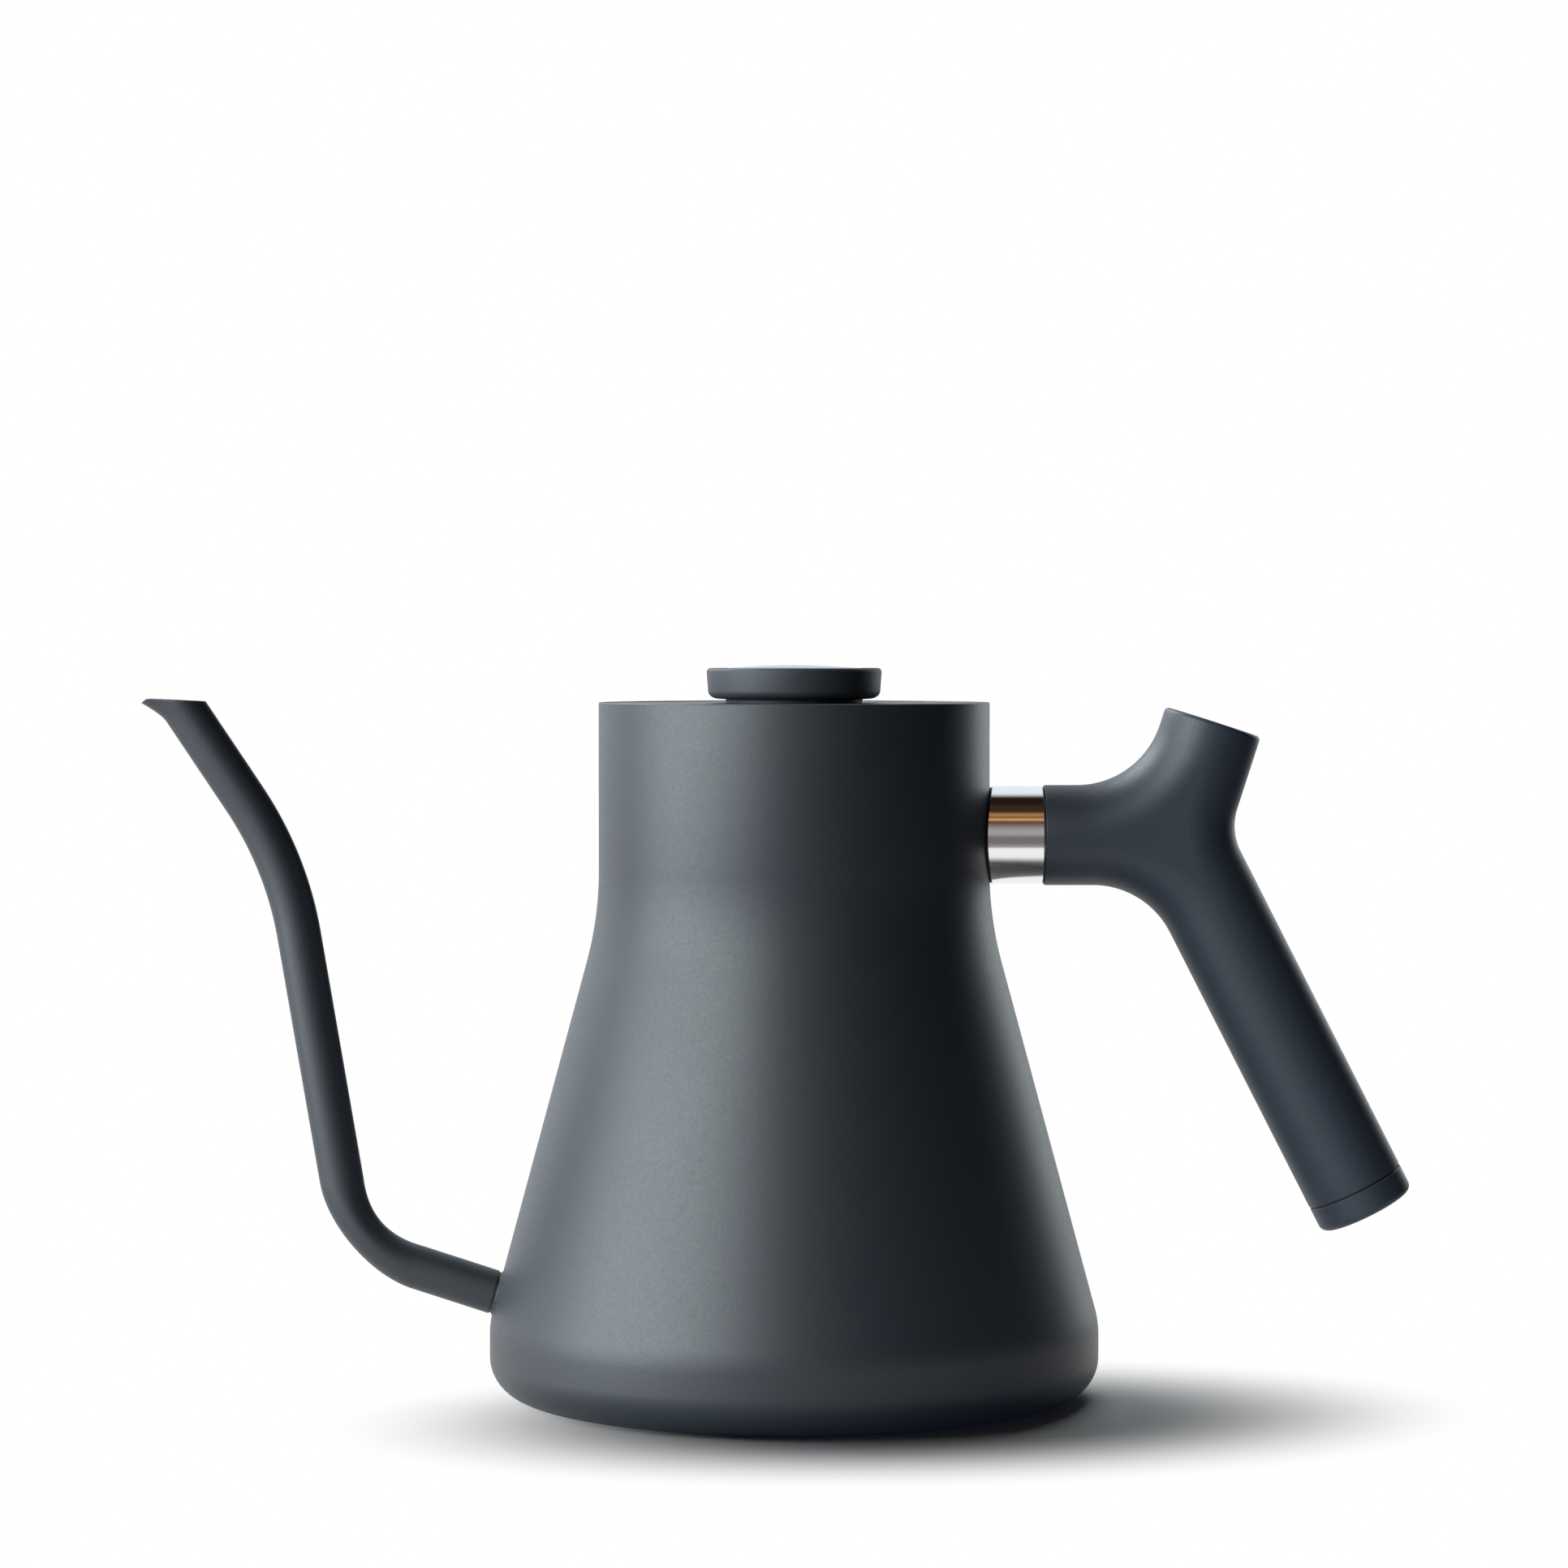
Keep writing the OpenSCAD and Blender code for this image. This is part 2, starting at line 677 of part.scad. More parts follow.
module collar_washers() {
    washer_r = collar_r - collar_washer_inset;
    color(silicone) {
        difference() {
            sleeve(neck_r - collar_r, collar_x, washer_r, fit_gap / 2);
            difference() {
                along([0, arm_z], 0) cylinder(r = collar_d, h = 2 * collar_x);
                body_solid(-collar_washer_t + fit_gap / 2, body_h + 1);
            }
        }
        sleeve(collar_end_x, grip_x, washer_r, fit_gap);
    }
}

// Fills the inside corner between two directions a and b of the fork
module crotch(a, b, inside_r, tube_r) {
    spread = b - a;
    middle = (a + b) / 2;
    r = inside_r + tube_r;
    bend(fork + r / sin(spread / 2) * dir(middle), r, middle + 90 + spread / 2, 180 - spread)
        circle(r = tube_r);
}

module rounded_rod(r, h, edge) {
    rotate_extrude() polygon(concat(
        [[0, 0], [r, 0]], arc([r - edge, h - edge], edge, 0, 90, 6), [[0, h]]));
}

module handle_grip() {
    past = arm_r / 4;
    color(plastic) difference() {
        union() {
            along([grip_x, arm_z], 0) cylinder(r = arm_r, h = fork[0] - grip_x + past);
            along(fork - past * dir(horn_a), horn_a) rounded_rod(horn_r, horn_len + past, horn_edge_r);
            along(fork - past * dir(leg_a), leg_a) cylinder(r = leg_r, h = leg_len + past);
            crotch(horn_a, 180, top_crotch_r, horn_r - blend_shrink);
            crotch(-180, leg_a, low_crotch_r, horn_r - blend_shrink);
            crotch(leg_a, horn_a, back_crotch_r, horn_r - blend_shrink);
        }
        along([grip_x - cut_over, arm_z], 0) {
            cylinder(r = tang_r + fit_gap, h = fork[0] + tang_past - grip_x + cut_over + fit_gap);
            cylinder(r = boss_r + fit_gap, h = boss_end_x - grip_x + cut_over + fit_gap);
        }
        along(fork, horn_a) cylinder(r = screw_r + fit_gap, h = horn_len);
        along(fork + screw_head_at * dir(horn_a), horn_a)
            cylinder(r = screw_head_r + fit_gap, h = horn_len);
        along(fork + (horn_len - horn_plug_t - fit_gap) * dir(horn_a), horn_a)
            cylinder(r = horn_plug_r + fit_gap, h = horn_len);
        along(fork + (leg_len - weight_len - cap_plug_len - fit_gap) * dir(leg_a), leg_a)
            cylinder(r = weight_r + fit_gap, h = weight_len + cap_plug_len + cut_over);
    }
}

module clamp_screw() {
    color(steel) along(fork, horn_a) difference() {
        union() {
            translate([0, 0, -tang_r / 2]) cylinder(r = screw_r, h = screw_head_at + tang_r / 2);
            translate([0, 0, screw_head_at]) cylinder(r = screw_head_r, h = screw_head_h);
        }
        translate([0, 0, screw_head_at + screw_head_h / 2])
            cylinder(d = socket_af / cos(30), h = screw_head_h, $fn = 6);
    }
}

module horn_plug() {
    color(plastic) along(fork + (horn_len - horn_plug_t) * dir(horn_a), horn_a)
        cylinder(r = horn_plug_r, h = horn_plug_t);
}

module counterweight() {
    color(steel) along(fork + (leg_len - weight_len - cap_plug_len) * dir(leg_a), leg_a)
        cylinder(r = weight_r, h = weight_len - fit_gap);
}

module end_cap() {
    plug_at = leg_len - cap_plug_len;
    color(plastic) {
        along(fork + plug_at * dir(leg_a), leg_a)
            cylinder(r = weight_r, h = cap_plug_len + cap_seal_t + eps);
        along(fork + (leg_len + cap_seal_t) * dir(leg_a), leg_a)
            rounded_rod(leg_r, end_cap_len - cap_seal_t, end_cap_edge_r);
    }
}

module end_cap_seal() {
    color(silicone) along(fork + leg_len * dir(leg_a), leg_a)
        ring(leg_r - collar_washer_inset, weight_r + fit_gap, cap_seal_t);
}

body_shell();
seat_ring();
body_floor();
base_core();
base_cap();
spout_tube();
lid_plate();
lid_liner();
lid_gasket();
knob_case();
dial_face();
dial_spacer();
dial_lens();
needle();
spindle();
bimetal_coil();
probe_tube();
probe_washer();
probe_nut();
handle_bracket();
handle_collar();
collar_washers();
handle_grip();
clamp_screw();
horn_plug();
counterweight();
end_cap();
end_cap_seal();
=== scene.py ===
"""Dresses the gooseneck kettle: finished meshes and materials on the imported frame, and a plain studio."""

import math

import bmesh
import bpy
from mathutils import Matrix, Vector


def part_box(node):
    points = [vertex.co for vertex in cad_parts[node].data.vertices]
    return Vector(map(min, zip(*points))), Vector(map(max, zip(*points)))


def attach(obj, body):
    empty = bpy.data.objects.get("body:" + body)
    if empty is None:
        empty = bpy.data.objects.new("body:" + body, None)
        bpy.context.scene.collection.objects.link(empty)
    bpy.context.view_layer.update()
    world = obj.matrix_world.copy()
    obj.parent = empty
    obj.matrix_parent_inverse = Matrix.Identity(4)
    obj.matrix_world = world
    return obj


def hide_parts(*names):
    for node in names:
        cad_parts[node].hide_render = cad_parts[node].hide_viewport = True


bl_info = {
    "name": "Gooseneck kettle",
    "version": (1, 0, 0),
    "blender": (4, 5, 0),
    "location": "3D View > Sidebar > Kettle",
    "description": "Builds a powder-coated pour-over kettle piece by piece",
    "category": "Object",
}

MM = 0.001
MICRON = 1e-6
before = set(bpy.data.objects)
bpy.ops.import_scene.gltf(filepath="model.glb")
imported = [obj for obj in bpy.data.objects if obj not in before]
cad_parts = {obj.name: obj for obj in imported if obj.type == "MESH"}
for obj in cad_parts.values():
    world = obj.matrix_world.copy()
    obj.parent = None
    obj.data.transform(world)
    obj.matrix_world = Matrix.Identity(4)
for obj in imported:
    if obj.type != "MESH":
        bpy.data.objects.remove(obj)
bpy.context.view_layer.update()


# ---- colours and sizes ----


def linear(code):
    """An sRGB hex colour as linear RGBA."""
    channels = [int(code[i : i + 2], 16) / 255 for i in (1, 3, 5)]
    return (*[c / 12.92 if c <= 0.04045 else ((c + 0.055) / 1.055) ** 2.4 for c in channels], 1.0)


def size(name, default, description):
    """A length in metres, given in millimetres."""
    return bpy.props.FloatProperty(
        name=name, default=default * MM, description=description, unit="LENGTH", precision=5
    )


def angle(name, degrees, description):
    """An angle in radians, given in degrees."""
    return bpy.props.FloatProperty(
        name=name, default=math.radians(degrees), description=description, subtype="ANGLE"
    )


def colour(name, code, description):
    """A colour, given as an sRGB hex value."""
    return bpy.props.FloatVectorProperty(
        name=name, default=linear(code), description=description, subtype="COLOR", size=4, min=0, max=1
    )


def half_width(node):
    """Half the width of a round CAD node, in millimetres."""
    low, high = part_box(node)
    return (high.x - low.x) / 2 / MM


class KettleBodySizes(bpy.types.PropertyGroup):
    belly_r: size("Belly radius", half_width("body_shell"), "Widest outside radius of the body")
    neck_r: size("Neck radius", 45, "Outside radius of the straight neck")
    rim_z: size("Rim height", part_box("body_shell")[1].z / MM, "Height of the rim")
    neck_arc_r: size("Neck blend", 81.5, "Radius of the blend from neck to cone")
    belly_arc_r: size("Belly blend", 21.7, "Radius of the blend from cone to belly")
    base_arc_r: size("Base blend", 9.2, "Radius of the blend from belly to underside")
    cone_foot_z: size("Cone foot", 17.4, "Height where the cone would meet the belly")
    cone_lean: angle("Cone lean", 15.12, "Lean of the cone from the vertical")
    wall: size("Wall", 0.8, "Thickness of the drawn wall")
    rim_round: size("Rim rounding", 0.3, "Radius of the rim's two edges")
    underside_z: size("Underside", 0.3, "Height of the body's own underside")


class KettleSpoutSizes(bpy.types.PropertyGroup):
    tube_r: size("Tube radius", 5.05, "Outside radius of the spout tube")
    wall: size("Wall", 0.8, "Wall thickness of the spout tube")
    flattening: size("Flattening", 1.5, "How much narrower the tube is at the middle of its root bend")
    beak: size("Beak", 2.9, "How far the pouring lip leans out in front of the tube")
    weld: size("Weld", 0.25, "Size of the weld fillet between tube and body")


class KettleHandleSizes(bpy.types.PropertyGroup):
    arm_r: size("Arm radius", 11.55, "Outside radius of the handle's arm")
    horn_r: size("Horn radius", 11.45, "Outside radius of the thumb horn")
    leg_r: size("Leg radius", 11.5, "Outside radius of the gripped leg")
    crotch_r: size("Inner blends", 20, "Radius between arm and horn and between arm and leg")
    back_r: size("Back blend", 13, "Radius between horn and leg")
    horn_round: size("Horn edge", 1, "Radius of the edge of the horn's top face")
    cap_round: size("Cap edge", 1.8, "Radius of the end cap's outer edge")
    collar_r: size("Collar radius", 11.3, "Outside radius of the polished collar")
    collar_bevel: size("Collar bevel", 0.22, "Width of the collar's two bevelled edges")


class KettleFinishes(bpy.types.PropertyGroup):
    coat: colour("Powder coat", "#21272d", "Matte slate coat of body, spout and lid")
    coat_grain: size("Coat grain", 0.7, "Size of the coat's pebbles")
    grip: colour("Grip", "#313740", "Moulded grip and end cap")
    knob: colour("Knob", "#2a2f35", "Soft-touch paint of the knob")
    steel: colour("Steel", "#c3c4c4", "Bare stainless steel")
    polish: colour("Polished steel", "#dcdcdc", "Mirror-polished collar")
    rubber: colour("Rubber", "#26282b", "Gasket, washers and seals")
    dial: colour("Dial", "#17191b", "Ground colour of the thermometer dial")
    marks: colour("Dial marks", "#e9e6df", "Ticks and numbers")
    band: colour("Brewing band", "#c9783c", "Arc over the brewing range")
    needle: colour("Needle", "#d9572b", "Thermometer needle")


def power(name, watts, description):
    """A lamp's power."""
    return bpy.props.FloatProperty(name=name, default=watts, description=description, unit="POWER", min=0)


def factor(name, default, description):
    """A plain number that multiplies."""
    return bpy.props.FloatProperty(name=name, default=default, description=description, min=0)


class KettleStage(bpy.types.PropertyGroup):
    key: power("Key light", 39, "Power of the softbox on the spout's side")
    side: power("Side light", 20, "Power of the high softbox behind the spout")
    floor_back: power("Floor light behind", 2.7, "Power of the floor's own lamp behind")
    floor_left: power("Floor light at left", 1.4, "Power of the floor's own lamp at left")
    edge: power("Edge light", 3.2, "Power of the strip behind the handle")
    rim: factor("Backdrop", 1, "Brightness of the white backdrop")
    backdrop: colour("Backdrop tint", "#f3f9ff", "White backdrop as metal and paint reflect it")
    fill: factor("Fill", 0.15, "Share of the room's light that reaches matte surfaces")
    floor: colour("Floor", "#f4f4f4", "Pale floor as it is seen")
    floor_bounce: colour("Floor glow", "#8797b8", "Light that the floor gives the kettle from below")
    fade_start: size("Shadow fade start", 50, "How far from the shadow's middle it begins to fade")
    fade_end: size("Shadow fade end", 134, "How far from the shadow's middle the floor is blank")
    distance: size("Camera distance", 1100, "Distance of the camera in front of the kettle")


# ---- meshes ----


def arc(cx, cy, r, start, end, steps):
    """Points along an arc, angles in degrees."""
    return [
        (
            cx + r * math.cos(math.radians(start + (end - start) * i / steps)),
            cy + r * math.sin(math.radians(start + (end - start) * i / steps)),
        )
        for i in range(steps + 1)
    ]


def profile(bm, points, closed=True):
    """A chain of edges through points (radius, height) in the X-Z plane."""
    verts = [bm.verts.new((x, 0, z)) for x, z in points]
    pairs = list(zip(verts, verts[1:])) + ([(verts[-1], verts[0])] if closed else [])
    return verts + [bm.edges.new(pair) for pair in pairs]


def lathe(points, steps=128, closed=True, spans=None):
    """Spins a profile round Z, in equal steps or in spans of (turn, steps)."""
    bm = bmesh.new()
    geom = profile(bm, points, closed)
    for turn, count in spans or [(360, steps)]:
        geom = bmesh.ops.spin(
            bm, geom=geom, cent=(0, 0, 0), axis=(0, 0, 1), dvec=(0, 0, 0),
            angle=math.radians(turn), steps=count, use_merge=spans is None,
        )["geom_last"]
    clean(bm)
    return bm


def clean(bm):
    """Merges doubles, drops faces with no area and turns every face outwards."""
    bmesh.ops.remove_doubles(bm, verts=bm.verts, dist=MICRON)
    bmesh.ops.dissolve_degenerate(bm, edges=bm.edges, dist=MICRON / 100)
    bmesh.ops.recalc_face_normals(bm, faces=bm.faces)


def bevel(bm, edges, width):
    """Rounds edges in two steps."""
    bmesh.ops.bevel(
        bm, geom=edges, offset=width, offset_type="OFFSET", segments=2, profile=0.5,
        affect="EDGES", clamp_overlap=True, material=-1,
    )


def place(bm, matrix, verts=None):
    """Moves vertices, or the whole mesh, by a matrix."""
    bmesh.ops.transform(bm, matrix=matrix, space=Matrix.Identity(4), verts=verts or bm.verts)


def extrude(bm, edges):
    """Extrudes edges on the spot. Returns the new vertices and the new edges between them."""
    made = bmesh.ops.extrude_edge_only(bm, edges=edges)["geom"]
    verts = [g for g in made if isinstance(g, bmesh.types.BMVert)]
    across = [g for g in made if isinstance(g, bmesh.types.BMEdge)]
    return verts, [e for e in across if all(v in verts for v in e.verts)]


def open_edges(bm):
    """Edges that have a face on one side only."""
    return [e for e in bm.edges if e.is_boundary]


def corner_edges(bm, degrees):
    """Edges where the surface turns by more than this angle."""
    return [
        e for e in bm.edges if len(e.link_faces) == 2 and e.calc_face_angle(0) > math.radians(degrees)
    ]


def piece(name, bm, body, materials, replaces=(), sharp=35):
    """Makes the mesh a smooth-shaded object that rides on a CAD body and stands for CAD nodes."""
    for e in bm.edges:
        e.smooth = not (len(e.link_faces) == 2 and e.calc_face_angle(0) > math.radians(sharp))
    for f in bm.faces:
        f.smooth = True
    mesh = bpy.data.meshes.new(name)
    bm.to_mesh(mesh)
    bm.free()
    for m in materials:
        mesh.materials.append(m)
    obj = bpy.data.objects.new(name, mesh)
    bpy.context.scene.collection.objects.link(obj)
    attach(obj, body)
    if replaces:
        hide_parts(*replaces)
    return obj


def flats(bm, broad=60 * MM**2, level=0.99999):
    """Faces of the flat areas that hold a broad face."""
    found = new = {f for f in bm.faces if f.calc_area() > broad}
    while new:
        beside = {(f, n) for f in new for e in f.edges for n in e.link_faces}
        new = {n for f, n in beside if n.normal.dot(f.normal) > level} - found
        found = found | new
    return [f for f in bm.faces if f in found]


def cad_copy(node, width=0.15 * MM, corner=50):
    """The merged mesh of a CAD node with its corners bevelled and its broad flats left flat to the eye."""
    bm = bmesh.new()
    bm.from_mesh(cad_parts[node].data)
    bmesh.ops.remove_doubles(bm, verts=bm.verts, dist=2 * MICRON)
    level = math.radians(0.6)
    bmesh.ops.dissolve_limit(
        bm, angle_limit=level, use_dissolve_boundaries=False, verts=bm.verts, edges=bm.edges
    )
    bevel(bm, corner_edges(bm, corner), width)
    bmesh.ops.inset_region(bm, faces=flats(bm), thickness=width, use_even_offset=True)
    return bm


def rings(bm, segments, stations):
    """Joins circles of radius 1, each placed by a matrix, into a tube. Returns the first and last loops."""
    verts = bmesh.ops.create_circle(bm, cap_ends=False, segments=segments, radius=1)["verts"]
    place(bm, stations[0], verts)
    start = edges = [e for e in bm.edges if all(v in verts for v in e.verts)]
    for before, after in zip(stations, stations[1:]):
        verts, edges = extrude(bm, edges)
        place(bm, after @ before.inverted(), verts)
    return start, edges


def on_leg(bm, origin, lean):
    """Moves a mesh built along Z so that it starts at origin and runs at an angle of the X-Z plane."""
    place(bm, Matrix.Translation(origin) @ Matrix.Rotation(math.pi / 2 - lean, 4, "Y"))


# ---- materials ----


def add(tree, kind, settings=None, links=None):
    """Adds a node with its own settings, its sockets' values and its links."""
    made = tree.nodes.new(kind)
    for key, value in (settings or {}).items():
        if isinstance(key, str) and key in made.bl_rna.properties:
            setattr(made, key, value)
        else:
            made.inputs[key].default_value = value
    for key, source in (links or {}).items():
        tree.links.new(source, made.inputs[key])
    return made


def material(name, **sockets):
    """A new material, its node tree, its shader and its Object coordinates."""
    made = bpy.data.materials.new(name)
    made.use_nodes = True
    tree = made.node_tree
    shader = tree.nodes["Principled BSDF"]
    for key, value in sockets.items():
        shader.inputs[key.replace("_", " ")].default_value = value
    return made, tree, shader, add(tree, "ShaderNodeTexCoord").outputs["Object"]


def dress(tree, shader, **sources):
    """Leads a finish's nodes to its shader's sockets."""
    for socket, source in sources.items():
        tree.links.new(source, shader.inputs[socket.replace("_", " ")])


def dimmed(tone, share):
    """A colour at a share of its brightness."""
    return (*[c * share for c in tone[:3]], 1)


def once(build):
    """Builds each named material the first time it is asked for."""

    def fetch():
        made = bpy.data.materials.get(build.__name__)
        return made or build(build.__name__, bpy.context.scene.kettle_finishes)

    return fetch


def grain(tree, shader, spot, base, grit, depth, spread, rough):
    """Pebbled skin: the pebbles' size, height, change of tone, and the range of their roughness."""
    cloud = 40 * grit
    pebbles = {"Scale": 1 / grit, "Detail": 3, "Roughness": 0.6}
    fine = add(tree, "ShaderNodeTexNoise", pebbles, {"Vector": spot})
    broad = add(tree, "ShaderNodeTexNoise", {"Scale": 1 / cloud, "Detail": 2}, {"Vector": spot})
    both = add(
        tree, "ShaderNodeMath", {"operation": "MULTIPLY_ADD", 1: 0.25},
        {0: broad.outputs[0], 2: fine.outputs[0]},
    )
    tone = add(
        tree, "ShaderNodeMix",
        {"data_type": "RGBA", 6: dimmed(base, 1 - spread), 7: dimmed(base, 1 + spread)},
        {0: fine.outputs[0]},
    )
    shine = add(
        tree, "ShaderNodeMapRange",
        {"From Min": 0.4, "From Max": 0.85, "To Min": rough[0], "To Max": rough[1]},
        {"Value": both.outputs[0]},
    )
    bump = add(tree, "ShaderNodeBump", {"Strength": 0.35, "Distance": depth}, {"Height": fine.outputs[0]})
    dress(tree, shader, Base_Color=tone.outputs[2], Roughness=shine.outputs[0], Normal=bump.outputs[0])


@once
def powder_coat(name, look):
    # Polyester powder coat baked on steel: a matte slate skin of fused pebbles. The eye gets a sandy
    # grain that breaks the wide soft highlight, and faint cloudiness where the film is thicker. Real
    # pebbles are about 0.2 mm; they are drawn at the coat grain's size so that they show.
    made, tree, shader, spot = material(name, IOR=1.58)
    grain(tree, shader, spot, look.coat, look.coat_grain, 0.07 * MM, 0.24, (0.52, 0.44))
    return made


@once
def soft_touch_paint(name, look):
    # Rubbery polyurethane paint on the zinc casting of the knob: drier than the powder coat, so its
    # highlight stays broad and low. Its fine sand is about 0.3 mm, and is drawn at 0.6 mm so that it shows.
    made, tree, shader, spot = material(name, IOR=1.5)
    grain(tree, shader, spot, look.knob, 0.6 * MM, 0.05 * MM, 0.16, (0.62, 0.54))
    return made


@once
def moulded_nylon(name, look):
    # Glass-filled nylon from a spark-eroded mould: a dry satin skin that darkens quickly away from the
    # light, a little glossier on the crests of its fine even texture. That is about 0.3 mm, and is drawn
    # at 0.6 mm so that it shows.
    made, tree, shader, spot = material(name, IOR=1.53)
    grain(tree, shader, spot, look.grip, 0.6 * MM, 0.05 * MM, 0.2, (0.55, 0.46))
    return made


@once
def silicone_rubber(name, look):
    # Moulded food-grade silicone: soft, nearly black, with a dusty bloom at grazing angles and the
    # faint tooth of its mould. That is finer than 0.5 mm, and is drawn at 0.9 mm so that it shows.
    made, tree, shader, spot = material(name, IOR=1.41, Sheen_Weight=0.12, Sheen_Roughness=0.4)
    grain(tree, shader, spot, look.rubber, 0.9 * MM, 0.02 * MM, 0.1, (0.7, 0.6))
    return made


def turned(tree, spot, pitch):
    """Noise that is constant round the Z axis: the lines that a lathe or a spinning brush leaves."""
    split = add(tree, "ShaderNodeSeparateXYZ", links={0: spot})
    flat = add(tree, "ShaderNodeCombineXYZ", links={0: split.outputs[0], 1: split.outputs[1]})
    radius = add(tree, "ShaderNodeVectorMath", {"operation": "LENGTH"}, {0: flat.outputs[0]})
    lines = add(tree, "ShaderNodeCombineXYZ", links={0: radius.outputs["Value"], 2: split.outputs[2]})
    noise = {"Scale": 1 / pitch, "Detail": 4, "Roughness": 0.7}
    return add(tree, "ShaderNodeTexNoise", noise, {"Vector": lines.outputs[0]}).outputs[0]


@once
def spun_steel(name, look):
    # Drawn and spun 304 stainless steel, left bare inside: fine rings round the kettle's axis, at a
    # pitch of 0.25 mm, that smear reflections up and down, over clouds from the wash, three in 50 mm.
    made, tree, shader, spot = material(name, Metallic=1.0, Anisotropic=0.35)
    lines = turned(tree, spot, 0.25 * MM)
    cloud = add(tree, "ShaderNodeTexNoise", {"Scale": 3 / (50 * MM), "Detail": 2}, {"Vector": spot})
    tones = {"data_type": "RGBA", 6: dimmed(look.steel, 0.82), 7: look.steel}
    tone = add(tree, "ShaderNodeMix", tones, {0: lines})
    shine = add(tree, "ShaderNodeMapRange", {"To Min": 0.24, "To Max": 0.4}, {"Value": cloud.outputs[0]})
    bump = add(tree, "ShaderNodeBump", {"Strength": 0.2, "Distance": 0.01 * MM}, {"Height": lines})
    dress(tree, shader, Base_Color=tone.outputs[2], Roughness=shine.outputs[0], Normal=bump.outputs[0])
    return made


@once
def polished_steel(name, look):
    # Mirror-buffed 304 stainless tube: reflects the room in sharp bands along its length. The buffing
    # wheel leaves a slight waviness of about 5 mm and hairlines round the tube at 0.2 mm.
    made, tree, shader, spot = material(name, Metallic=1.0, Base_Color=look.polish)
    along, over = 1 / (0.2 * MM), 1 / (25 * MM)
    round_tube = add(tree, "ShaderNodeMapping", {"Scale": (along, over, over)}, {"Vector": spot})
    hair = add(tree, "ShaderNodeTexNoise", {"Scale": 1, "Detail": 3}, {"Vector": round_tube.outputs[0]})
    wave = add(tree, "ShaderNodeTexNoise", {"Scale": 1 / (5 * MM), "Detail": 1}, {"Vector": spot})
    gloss = {"From Min": 0.35, "From Max": 0.75, "To Min": 0.04, "To Max": 0.1}
    shine = add(tree, "ShaderNodeMapRange", gloss, {"Value": hair.outputs[0]})
    swell = {"Strength": 0.3, "Distance": 0.02 * MM}
    bump = add(tree, "ShaderNodeBump", swell, {"Height": wave.outputs[0]})
    dress(tree, shader, Roughness=shine.outputs[0], Normal=bump.outputs[0])
    return made


@once
def machined_steel(name, look):
    # Turned and milled stainless parts of the handle, probe and nut: satin, with short tool marks at
    # 0.3 mm and a slightly darker tone than the drawn sheet.
    made, tree, shader, spot = material(name, Metallic=1.0)
    noise = {"Scale": 1 / (0.3 * MM), "Detail": 4, "Roughness": 0.65}
    marks = add(tree, "ShaderNodeTexNoise", noise, {"Vector": spot}).outputs[0]
    tones = {"data_type": "RGBA", 6: dimmed(look.steel, 0.7), 7: dimmed(look.steel, 0.9)}
    tone = add(tree, "ShaderNodeMix", tones, {0: marks})
    shine = add(tree, "ShaderNodeMapRange", {"To Min": 0.22, "To Max": 0.42}, {"Value": marks})
    bump = add(tree, "ShaderNodeBump", {"Strength": 0.15, "Distance": 0.01 * MM}, {"Height": marks})
    dress(tree, shader, Base_Color=tone.outputs[2], Roughness=shine.outputs[0], Normal=bump.outputs[0])
    return made


@once
def rolled_aluminium(name, look):
    # Rolled aluminium core sheet: pale, dull, with straight rolling lines 0.4 mm apart, each of which
    # changes three times in 100 mm of its length.
    made, tree, shader, spot = material(name, Metallic=1.0)
    along, over = 3 / (100 * MM), 1 / (0.4 * MM)
    rolled = add(tree, "ShaderNodeMapping", {"Scale": (along, over, along)}, {"Vector": spot})
    lines = add(tree, "ShaderNodeTexNoise", {"Scale": 1, "Detail": 3}, {"Vector": rolled.outputs[0]})
    tones = {"data_type": "RGBA", 6: linear("#b4b6b7"), 7: linear("#d2d3d4")}
    tone = add(tree, "ShaderNodeMix", tones, {0: lines.outputs[0]})
    shine = add(tree, "ShaderNodeMapRange", {"To Min": 0.35, "To Max": 0.5}, {"Value": lines.outputs[0]})
    dress(tree, shader, Base_Color=tone.outputs[2], Roughness=shine.outputs[0])
    return made


@once
def bimetal_strip(name, look):
    # Brass and nickel-iron strip, rolled together: warm yellow-grey with patches of darker heat tint,
    # about 2.5 mm across.
    made, tree, shader, spot = material(name, Metallic=1.0, Roughness=0.35)
    tint = add(tree, "ShaderNodeTexNoise", {"Scale": 1 / (2.5 * MM), "Detail": 3}, {"Vector": spot})
    tones = {"data_type": "RGBA", 6: linear("#8a6b45"), 7: linear("#c0a06c")}
    tone = add(tree, "ShaderNodeMix", tones, {0: tint.outputs[0]})
    dress(tree, shader, Base_Color=tone.outputs[2])
    return made


@once
def dial_enamel(name, look):
    # Screen-printed matt enamel on the aluminium dial: flat near-black with the ink's faint tooth of
    # 0.25 mm.
    made, tree, shader, spot = material(name, IOR=1.5)
    grain(tree, shader, spot, look.dial, 0.25 * MM, 0.01 * MM, 0.1, (0.5, 0.42))
    return made


@once
def dial_ink(name, look):
    # Opaque off-white printing ink, a little uneven at its 0.2 mm mesh.
    made, tree, shader, spot = material(name, IOR=1.5)
    grain(tree, shader, spot, look.marks, 0.2 * MM, 0.005 * MM, 0.05, (0.6, 0.5))
    return made


@once
def band_ink(name, look):
    # Opaque warm printing ink over the brewing range, from the same 0.2 mm mesh.
    made, tree, shader, spot = material(name, IOR=1.5)
    grain(tree, shader, spot, look.band, 0.2 * MM, 0.005 * MM, 0.06, (0.6, 0.5))
    return made


